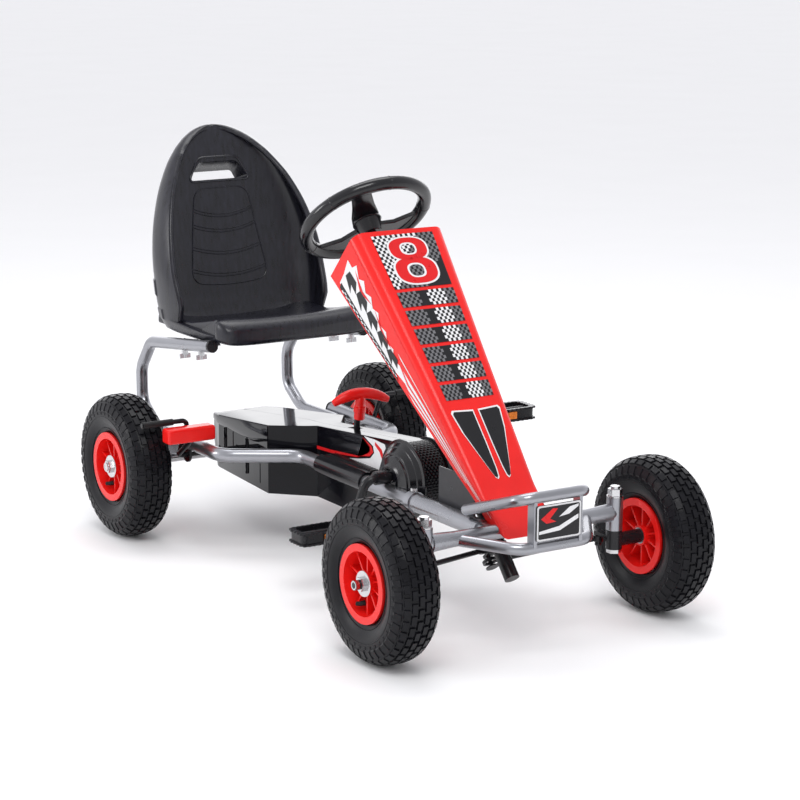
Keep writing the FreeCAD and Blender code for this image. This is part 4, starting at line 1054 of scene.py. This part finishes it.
def make_pedal(side):
    """Pedal cage: toothed top and bottom rings, recessed walls, a barrel and treads."""
    low, high = box("pedal_" + side)
    mid = (low + high) / 2
    half = (high - low) / 2
    half.z = 11.5

    def outline(inset, teeth=0.0):
        a, b = half.x - inset, half.y - inset
        line = rounded([(-a, -b), (a, -b), (a, b), (-a, b)], max(13 - inset * 0.4, 3), 4)
        dense = []
        for n, p in enumerate(line):
            q = line[(n + 1) % len(line)]
            count = max(1, round((q - p).length / 2.4))
            dense += [p.lerp(q, k / count) for k in range(count)]
        return [p * (1 - (teeth / half.y if n // 2 % 2 else 0)) for n, p in enumerate(dense)]
    parts = []
    for z0, z1 in ((half.z - 3.5, half.z), (-half.z, -half.z + 3.5)):
        ring = outline(0, 1.6)
        parts.append(plate_between(ring, [p * 0.80 for p in ring], z0, z1))
    wall = outline(3.5)
    parts.append(plate_between(wall, [p * 0.86 for p in wall], -half.z + 3, half.z - 3))
    mesh = mesh_of(*joined(parts))
    mesh.transform(Matrix.Translation(mid))
    body = "pedal_" + side
    piece("pedal_cage_" + side, mesh, "black_matte", body, ("pedal_" + side,), 40)
    barrel = tube([mid - X * (half.x - 6), mid + X * (half.x - 6)], 8.5, 24)
    treads = []
    for n in range(5):
        x = mid.x + (n - 2) * 17
        reach = Y * (half.y - 7)
        treads.append(tube([Vector((x, mid.y, mid.z)) - reach, Vector((x, mid.y, mid.z)) + reach], 4.5, 8))
    piece("pedal_core_" + side, mesh_of(*joined([barrel] + treads)), "black_matte", body)


def lever_handle():
    """Drooping T grip with a faceted socket and a collar."""
    low, high = box("gear_lever_handle")
    mid = (low + high) / 2
    half, top = (high.x - low.x) / 2, high.z - 10.5
    line = []
    for n in range(25):
        s = n / 12 - 1
        line.append(Vector((mid.x + s * (half - 5), mid.y - 4 - 9 * s, top - 15.5 * s * s)))

    def size(t):
        return 10.3 * (1 - 0.42 * abs(2 * t - 1) ** 3)
    parts = [tube(line, size, 20)]
    foot, crown = Vector((mid.x + 1, low.y + 22, low.z + 1)), line[12]
    parts.append(tube([foot, foot.lerp(crown, 0.2), foot.lerp(crown, 0.8), crown], 10.2, 8))
    parts.append(tube([foot.lerp(crown, 0.28), foot.lerp(crown, 0.5)], 11.4, 20))
    piece("lever_grip", mesh_of(*joined(parts)), "red_plastic", "gear_lever",
          ("gear_lever_handle",), 50, 0.8)


def plate_print():
    """Bright edge and plain shapes printed on the number plate."""
    low, high = box("number_plate")
    face = low.y - 0.15

    def at(u, v):
        return Vector((low.x + (high.x - low.x) * u, face, low.z + (high.z - low.z) * v))
    edge = rounded([(0.01, 0.01), (0.99, 0.01), (0.99, 0.99), (0.01, 0.99)], 0.07)
    inner = rounded([(0.045, 0.06), (0.955, 0.06), (0.955, 0.94), (0.045, 0.94)], 0.05)
    rim = grid([[at(p.x, p.y) for p in edge], [at(p.x, p.y) for p in inner]], False, True)
    decal("plate_edge", [rim], "zinc")
    red = [patch(at, [(0.10, 0.62), (0.36, 0.88), (0.47, 0.86), (0.30, 0.60), (0.44, 0.50), (0.22, 0.48)])]
    white = [patch(at, [(0.06, 0.28), (0.50, 0.36), (0.93, 0.62), (0.93, 0.50), (0.52, 0.24), (0.06, 0.20)]),
             patch(at, [(0.50, 0.62), (0.74, 0.86), (0.93, 0.90), (0.93, 0.84), (0.72, 0.66)])]
    decal("plate_red", red, "red_print")
    decal("plate_white", white, "white_print")


def make_controls():
    lever_handle()
    plate_print()
    softened("brake_grip", 1.5)
    for side in ("right", "left"):
        make_pedal(side)
    softened("rail_covers", 0.6, "wheel_gloss")
    for node in ("steering_support", "rear_brackets", "brake_brackets"):
        softened(node, 0.6)


LOOKS = make_materials()


def dress_nodes():
    """Every CAD node that stays gets its slot's material."""
    for name, node in frame["nodes"].items():
        for slot in node.material_slots:
            slot.material = LOOKS[SLOT_OF[name]]
        if not node.material_slots:
            node.data.materials.append(LOOKS[SLOT_OF[name]])


make_floor()
make_light()
make_camera()
dress_nodes()
make_wheels()
make_seat()
hood_shell()
hood_decals()
hood_side_decals()
make_steering_wheel()
make_case()
make_controls()
